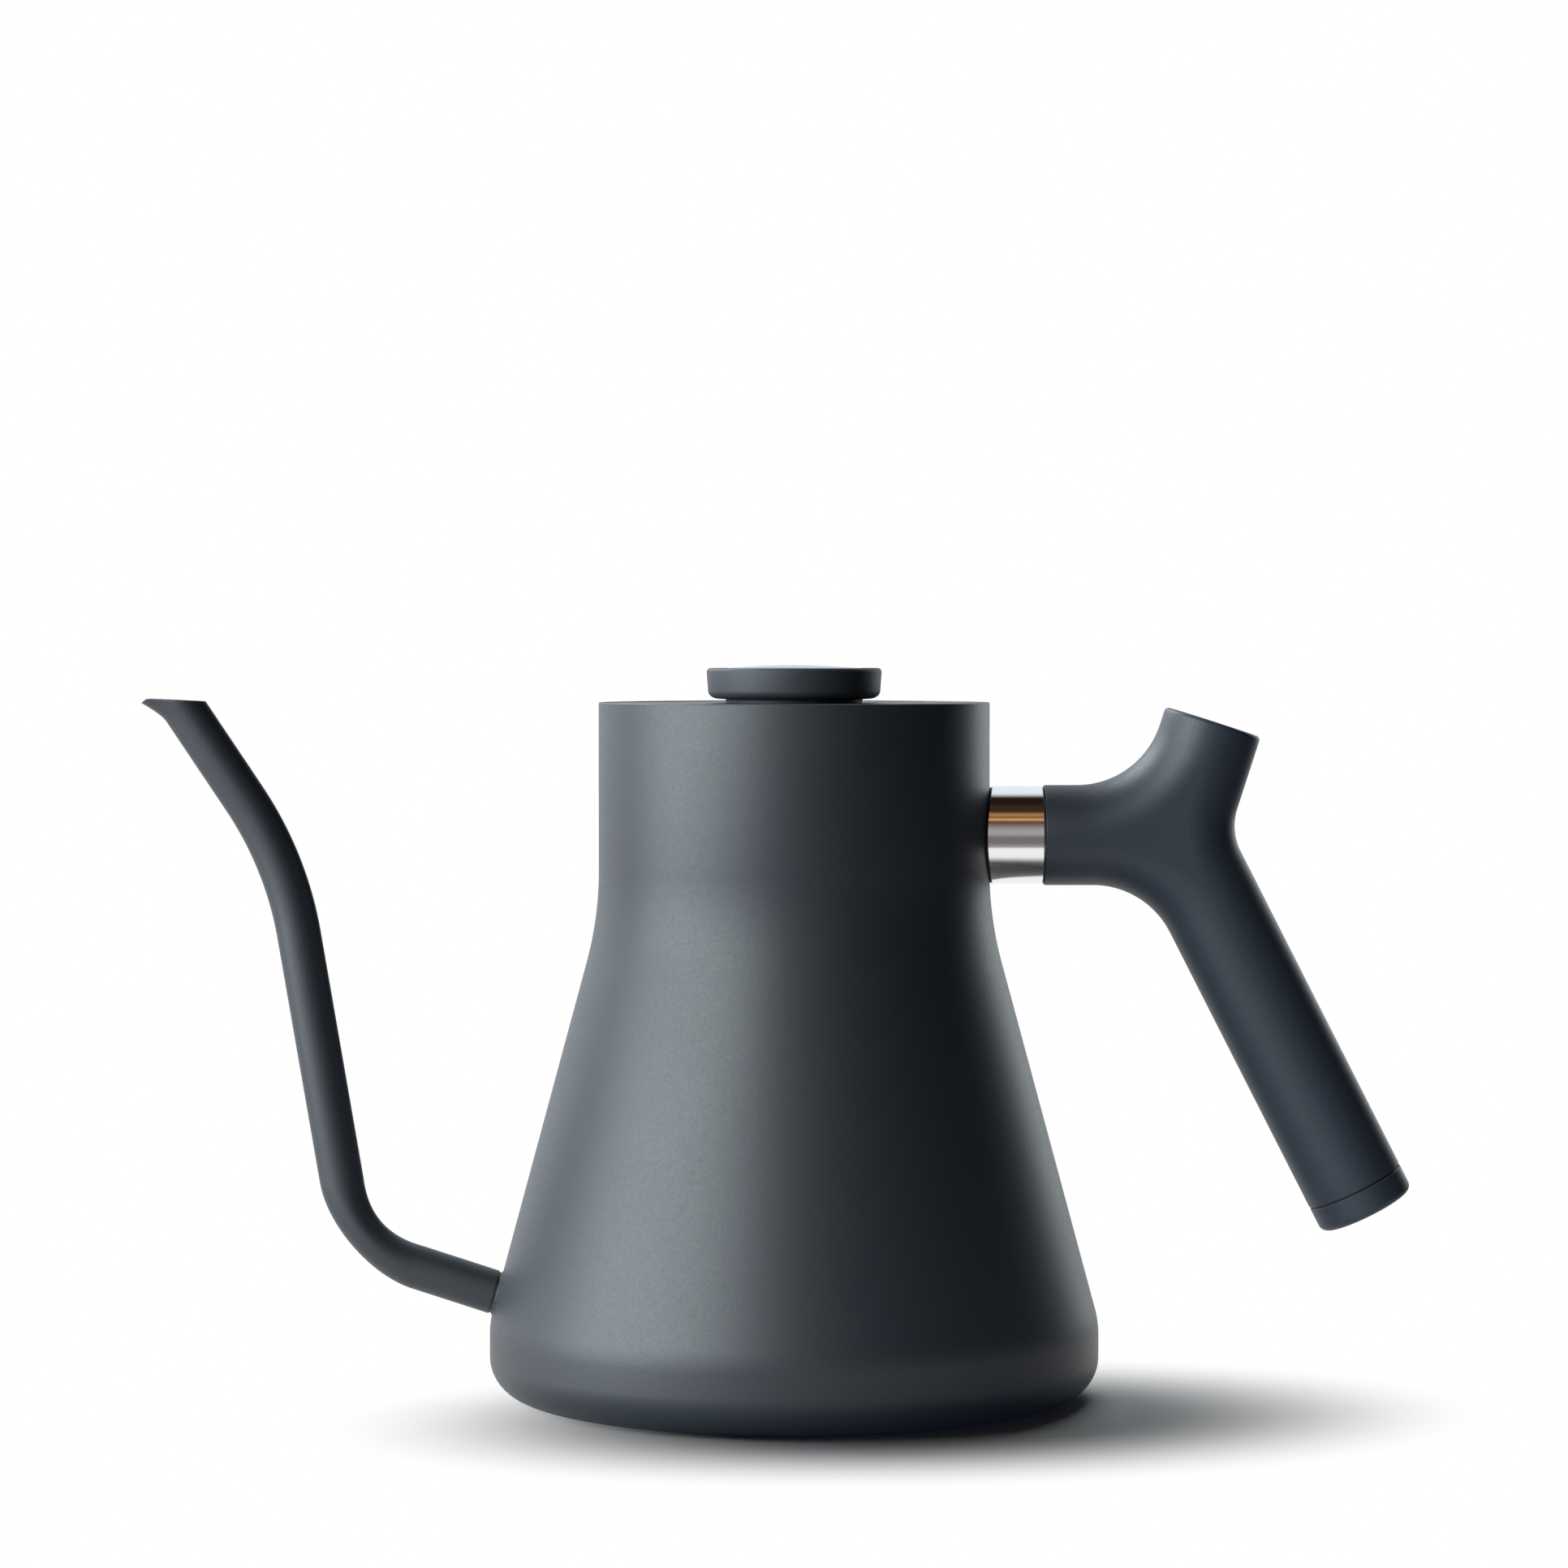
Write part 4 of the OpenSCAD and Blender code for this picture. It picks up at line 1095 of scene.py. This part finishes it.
    @staticmethod
    def reaches():
        """How far from the fork the three blends start, the farthest first."""
        h = bpy.context.scene.kettle_handle
        blends = (
            (h.crotch_r, h.arm_r + h.horn_r, ARM_A - HORN_A),
            (h.crotch_r, h.arm_r + h.leg_r, LEG_A - ARM_A + 2 * math.pi),
            (h.back_r, h.horn_r + h.leg_r, HORN_A - LEG_A),
        )
        found = {round((r + tubes / 2) / math.tan(spread / 2), 9) for r, tubes, spread in blends}
        return sorted(found, reverse=True)

    @staticmethod
    def plug_hole(bm, face, h):
        """Sinks the seat of the plug into the horn's top face."""
        seat_r = 6.1 * MM
        margin = h.horn_r - h.horn_round - seat_r
        bmesh.ops.inset_region(bm, faces=[face], thickness=margin, use_even_offset=True)
        made = bmesh.ops.extrude_face_region(bm, geom=[face])["geom"]
        verts = [g for g in made if isinstance(g, bmesh.types.BMVert)]
        bmesh.ops.translate(bm, vec=heading(HORN_A) * -PLUG_DEPTH, verts=verts)
        bmesh.ops.delete(bm, geom=[face], context="FACES_ONLY")
        bmesh.ops.recalc_face_normals(bm, faces=bm.faces)


class KETTLE_OT_collar(bpy.types.Operator):
    """Polished collar, cut to the neck's curve, its washers, and the steel parts inside the handle"""

    bl_idname = "kettle.collar"
    bl_label = "Collar"

    def execute(self, context):
        h, b = context.scene.kettle_handle, context.scene.kettle_body
        r, c, bore_r = h.collar_r, h.collar_bevel, 9.15 * MM
        saddle_r, end_x = b.neck_r + 0.4 * MM, GRIP_X - 0.25 * MM
        halfway = (end_x - b.neck_r) / 2
        # For each ring: radius, shift along the collar, and how far it follows the neck's curve. The last
        # three have no share of it, because they lie flat against the washer at the grip.
        plan = [
            (bore_r, 0, 1), (r - c, 0, 1), (r, c, 1), (r, c + 2 * MM, 0.6), (r, halfway, 0.2),
            (r, -c, None), (r - c, 0, None), (bore_r, 0, None),
        ]
        bm = bmesh.new()
        sides = 96
        turn = Matrix.Translation((0, 0, FORK.z)) @ Matrix.Rotation(math.pi / 2, 4, "Y")
        stations = [turn @ Matrix.Diagonal((ring_r, ring_r, 1, 1)) for ring_r, _, _ in plan]
        start, end = rings(bm, sides, stations)
        bm.verts.index_update()
        for v in bm.verts:
            _, shift, follow = plan[v.index // sides]
            if follow is None:
                v.co.x = end_x + shift
            else:
                saddle = math.sqrt(saddle_r**2 - v.co.y**2)
                v.co.x = saddle * follow + saddle_r * (1 - follow) + shift
        bmesh.ops.bridge_loops(bm, edges=start + end)
        bmesh.ops.recalc_face_normals(bm, faces=bm.faces)
        finish = [polished_steel()]
        piece("collar_sleeve", bm, "kettle", finish, ["handle_collar"], sharp=30)
        paint("collar_washers", silicone_rubber())
        for node in ("handle_bracket", "clamp_screw", "counterweight"):
            paint(node, machined_steel())
        return {"FINISHED"}


class KETTLE_OT_end_cap(bpy.types.Operator):
    """Screwed cap at the foot of the leg and the seal in its seam"""

    bl_idname = "kettle.end_cap"
    bl_label = "End cap"

    def execute(self, context):
        h = context.scene.kettle_handle
        r, e, length = h.leg_r - 0.01 * MM, h.cap_round, 6.6 * MM
        seam, nick = 0.4 * MM, 0.2 * MM
        points = [(0, seam), (r - nick, seam), (r, seam + nick), (r, length - e)]
        points += arc(r - e, length - e, e, 0, 90, 10)[1:]
        flat_r = r - e - 0.9 * MM
        points += [(flat_r, length), (flat_r - 0.3 * MM, length - nick), (0, length - nick)]
        bm = lathe(points, steps=96, closed=False)
        on_leg(bm, FORK + heading(LEG_A) * LEG_LEN, LEG_A)
        piece("leg_cap", bm, "kettle", [moulded_nylon()], ["end_cap"])
        paint("end_cap_seal", silicone_rubber())
        return {"FINISHED"}


# ---- stage ----


# The camera: millimetres right of the kettle's axis and above the floor, tilt downwards in degrees, and
# the lens' focal length and the image's width in pixels.
EYE_X, EYE_Z, TILT = -2.34, 171.7, 1.59
FOCAL, IMAGE = 5885, 1932


class KETTLE_OT_stage(bpy.types.Operator):
    """Camera, pale floor, softboxes and backdrop"""

    bl_idname = "kettle.stage"
    bl_label = "Stage"

    def execute(self, context):
        scene, s = context.scene, context.scene.kettle_stage
        scene.view_settings.view_transform = "Standard"
        camera = bpy.data.cameras.new("camera")
        camera.lens = FOCAL / IMAGE * camera.sensor_width
        eye = bpy.data.objects.new("camera", camera)
        eye.location = (EYE_X * MM, -s.distance, EYE_Z * MM)
        eye.rotation_euler = (math.radians(90 - TILT), 0, 0)
        scene.collection.objects.link(eye)
        scene.camera = eye
        self.floor(s)
        floor = self.group("floor_alone", ["floor"], "INCLUDE")
        rest = self.group("all_but_floor", ["floor"], "EXCLUDE")
        right = self.group("right_of_spout", ["floor", "spout_tube_skin", "spout_weld"], "EXCLUDE")
        # Name, power, place, width, height, what it lights, and its turn round its own beam in degrees.
        for lamp in (
            ("key", s.key, (-1.05, -0.605, 0.42), 1.8, 0.84, rest, 26),
            ("side", s.side, (-0.85, 0.7, 1.15), 0.9, 0.9, rest, 0),
            ("edge", s.edge, (0.58, 0.73, 0.3), 0.35, 1.0, right, 0),
            ("floor_back", s.floor_back, (0.18, 0.66, 1.0), 0.7, 0.7, floor, 0),
            ("floor_left", s.floor_left, (-0.95, -0.25, 0.7), 0.7, 0.7, floor, 0),
        ):
            self.light(*lamp)
        self.surroundings(s)
        return {"FINISHED"}

    @staticmethod
    def light(name, watts, spot, width, height, lit, roll):
        """A rectangular softbox of cool daylight that faces the kettle's middle and lights one group."""
        daylight, middle = (0.89, 0.97, 1.0), Vector((0, 0, 0.08))
        lamp = bpy.data.lights.new(name, "AREA")
        lamp.color = daylight
        lamp.shape, lamp.size, lamp.size_y, lamp.energy = "RECTANGLE", width, height, watts
        obj = bpy.data.objects.new(name, lamp)
        obj.location = spot
        aim = middle - Vector(spot)
        obj.rotation_euler = aim.to_track_quat("-Z", "Y").to_euler()
        obj.rotation_euler.rotate_axis("Z", math.radians(roll))
        obj.visible_camera = False
        obj.light_linking.receiver_collection = lit
        bpy.context.scene.collection.objects.link(obj)

    @staticmethod
    def group(name, objects, state):
        """A set of objects that alone, or alone not, receive a lamp's light; all objects cast shadows."""
        made = bpy.data.collections.new(name)
        for obj in objects:
            made.objects.link(bpy.data.objects[obj])
        for entry in made.collection_objects:
            entry.light_linking.link_state = state
        return made

    @staticmethod
    def floor(s):
        """The floor, just under the kettle, and its finish."""
        half, behind, under = 1.6, 1.35, 0.02 * MM
        bm = bmesh.new()
        bmesh.ops.create_grid(bm, x_segments=8, y_segments=8, size=1)
        place(bm, Matrix.Translation((0, behind, -under)) @ Matrix.Diagonal((half, half, 1, 1)))
        mesh = bpy.data.meshes.new("floor")
        bm.to_mesh(mesh)
        bm.free()
        # Matte white laminate: shown white. To the kettle's matte surfaces it does not bounce the lamps'
        # light; it glows with the floor glow colour instead, a painted fill light from below.
        finish, tree, shader, spot = material("matte_laminate", Roughness=0.9, Specular_IOR_Level=0.0)
        shader.inputs["Base Color"].default_value = s.floor
        path = add(tree, "ShaderNodeLightPath").outputs
        seen = path["Is Camera Ray"]
        for ray in ("Is Glossy Ray", "Is Transmission Ray"):
            either = {"operation": "ADD", "use_clamp": True}
            seen = add(tree, "ShaderNodeMath", either, {0: seen, 1: path[ray]}).outputs[0]
        # The kettle's shadow is kept inside an oval round it, and fades to plain white towards its edge.
        shadow = {"Location": (26 * MM, -33 * MM, 0), "Rotation": (0, 0, 0.19), "Scale": (1, 0.69, 1)}
        oval = add(tree, "ShaderNodeMapping", {"vector_type": "TEXTURE", **shadow}, {"Vector": spot})
        away = add(tree, "ShaderNodeVectorMath", {"operation": "LENGTH"}, {0: oval.outputs[0]})
        fade = add(
            tree, "ShaderNodeMapRange",
            {"interpolation_type": "SMOOTHSTEP", "From Min": s.fade_start, "From Max": s.fade_end},
            {"Value": away.outputs["Value"]},
        )
        blank = add(tree, "ShaderNodeMix", {2: 1.0}, {0: seen, 3: fade.outputs[0]})
        tones = {"data_type": "RGBA", 6: s.floor_bounce, 7: (1, 1, 1, 1)}
        tone = add(tree, "ShaderNodeMix", tones, {0: seen})
        # What shines in the kettle's right flank is dim, like the room on that side.
        across = add(tree, "ShaderNodeSeparateXYZ", links={0: spot}).outputs[0]
        darker = {"From Min": 0.12, "From Max": 0.35, "To Min": 1.0, "To Max": 0.08}
        dim = add(tree, "ShaderNodeMapRange", darker, {"Value": across})
        strength = add(tree, "ShaderNodeMix", {2: 1.0}, {0: path["Is Glossy Ray"], 3: dim.outputs[0]})
        # The emission is white where the floor is seen, and the floor glow colour, a painted fill light,
        # for every other ray.
        glow = {"Color": tone.outputs[2], "Strength": strength.outputs[0]}
        white = add(tree, "ShaderNodeEmission", links=glow)
        layers = {0: blank.outputs[0], 1: shader.outputs[0], 2: white.outputs[0]}
        above = add(tree, "ShaderNodeMixShader", links=layers)
        # The floor is clear from below, so that the underside can be looked at.
        below = add(tree, "ShaderNodeNewGeometry").outputs["Backfacing"]
        clear = add(tree, "ShaderNodeBsdfTransparent")
        both = add(tree, "ShaderNodeMixShader", links={0: below, 1: above.outputs[0], 2: clear.outputs[0]})
        tree.links.new(both.outputs[0], tree.nodes["Material Output"].inputs["Surface"])
        mesh.materials.append(finish)
        obj = bpy.data.objects.new("floor", mesh)
        bpy.context.scene.collection.objects.link(obj)

    @staticmethod
    def surroundings(s):
        """White backdrop behind and a dim room in front, for everything but the camera."""
        world = bpy.data.worlds.new("studio")
        bpy.context.scene.world = world
        world.use_nodes = True
        tree = world.node_tree
        tree.nodes.clear()
        way = add(tree, "ShaderNodeTexCoord").outputs["Generated"]
        across, along, up = add(tree, "ShaderNodeSeparateXYZ", links={0: way}).outputs
        height = add(tree, "ShaderNodeMapRange", {"From Min": -1, "From Max": 1}, {"Value": up})
        room = add(tree, "ShaderNodeValToRGB", links={0: height.outputs[0]})
        # The room in front, from the floor up, each colour at its height in degrees over the horizon: a
        # grey sweep, a lit wall, a copper-coloured panel with a lamp strip and a glow over it, and a dark
        # ceiling.
        sweep, wall, shade = "#707882", "#aca5a4", "#7a7576"
        copper, lamp, glow, dusk, ceiling = "#6b4830", "#e8b67c", "#b98a5c", "#3c281e", "#1e1613"
        bands = [
            (-90, sweep), (-42, sweep), (-40, wall), (-29, wall), (-16, shade), (-4, shade),
            (4, wall), (14, wall), (25, shade), (30, copper), (35, copper), (37.5, lamp),
            (40, lamp), (42, copper), (51, glow), (58, dusk), (72, dusk), (90, ceiling),
        ]
        ramp = room.color_ramp
        while len(ramp.elements) < len(bands):
            ramp.elements.new(0.5)
        for element, (at, code) in zip(ramp.elements, bands):
            element.position, element.color = (math.sin(math.radians(at)) + 1) / 2, linear(code)
        # How bright each side is, by direction: the room's left and right flanks, the backdrop's right
        # edge and its depth, and its lift on the spout's side, where it is brightest.
        left, flank, edge, back, lift = (
            add(
                tree, "ShaderNodeMapRange",
                {"From Min": start, "From Max": end, "To Min": first, "To Max": last}, {"Value": axis},
            ).outputs[0]
            for axis, start, end, first, last in (
                (across, -0.18, 0.0, 0.15, 1.0),
                (across, 0.1, 0.3, 1.0, 0.03),
                (across, 0.2, 0.5, 1.0, 0.0),
                (along, 0.2, 0.45, 0.0, 1.0),
                (across, -0.7, -0.2, 1.7, 1.0),
            )
        )
        times = {"operation": "MULTIPLY"}
        flank = add(tree, "ShaderNodeMath", times, {0: flank, 1: left}).outputs[0]
        black = {"data_type": "RGBA", 6: (0, 0, 0, 1)}
        dim = add(tree, "ShaderNodeMix", black, {0: flank, 7: room.outputs[0]}).outputs[2]
        back = add(tree, "ShaderNodeMath", times, {0: back, 1: edge}).outputs[0]
        backdrop = {"data_type": "RGBA", 7: dimmed(s.backdrop, s.rim)}
        around = add(tree, "ShaderNodeMix", backdrop, {0: back, 6: dim}).outputs[2]
        path = add(tree, "ShaderNodeLightPath").outputs
        fill = {"To Min": 1.0, "To Max": s.fill}
        soft = add(tree, "ShaderNodeMapRange", fill, {"Value": path["Is Diffuse Ray"]}).outputs[0]
        either = {0: path["Is Camera Ray"], 1: path["Is Transmission Ray"]}
        seen = add(tree, "ShaderNodeMath", {"operation": "MAXIMUM"}, either).outputs[0]
        white = {"data_type": "RGBA", 7: (1, 1, 1, 1)}
        tone = add(tree, "ShaderNodeMix", white, {0: seen, 6: around}).outputs[2]
        strength = add(tree, "ShaderNodeMath", times, {0: soft, 1: lift}).outputs[0]
        strength = add(tree, "ShaderNodeMix", {3: 1.0}, {0: path["Is Camera Ray"], 2: strength}).outputs[0]
        light = add(tree, "ShaderNodeBackground", links={"Color": tone, "Strength": strength})
        add(tree, "ShaderNodeOutputWorld", links={"Surface": light.outputs[0]})


# ---- panel and registration ----


STEPS = (
    "body", "base", "spout", "lid", "knob", "dial", "probe", "collar", "grip", "end_cap", "stage",
)


class KETTLE_PT_pieces(bpy.types.Panel):
    """Lists the kettle's pieces, and its sizes and colours"""

    bl_label = "Kettle"
    bl_idname = "KETTLE_PT_pieces"
    bl_space_type = "VIEW_3D"
    bl_region_type = "UI"
    bl_category = "Kettle"

    def draw(self, context):
        for step in STEPS:
            self.layout.operator(f"kettle.{step}")
        for group in GROUPS:
            box = self.layout.box()
            values = getattr(context.scene, group)
            for key in values.__annotations__:
                box.prop(values, key)


GROUPS = {
    "kettle_body": KettleBodySizes,
    "kettle_spout": KettleSpoutSizes,
    "kettle_handle": KettleHandleSizes,
    "kettle_finishes": KettleFinishes,
    "kettle_stage": KettleStage,
}
CLASSES = (
    *GROUPS.values(), KETTLE_OT_stage, KETTLE_OT_body, KETTLE_OT_base, KETTLE_OT_spout, KETTLE_OT_lid,
    KETTLE_OT_knob, KETTLE_OT_dial, KETTLE_OT_probe, KETTLE_OT_collar, KETTLE_OT_grip, KETTLE_OT_end_cap,
    KETTLE_PT_pieces,
)


def register():
    for cls in CLASSES:
        bpy.utils.register_class(cls)
    for name, group in GROUPS.items():
        setattr(bpy.types.Scene, name, bpy.props.PointerProperty(type=group))


def unregister():
    for name in GROUPS:
        delattr(bpy.types.Scene, name)
    for cls in reversed(CLASSES):
        bpy.utils.unregister_class(cls)


def main():
    register()
    for step in STEPS:
        getattr(bpy.ops.kettle, step)()


if __name__ == "__main__":
    main()
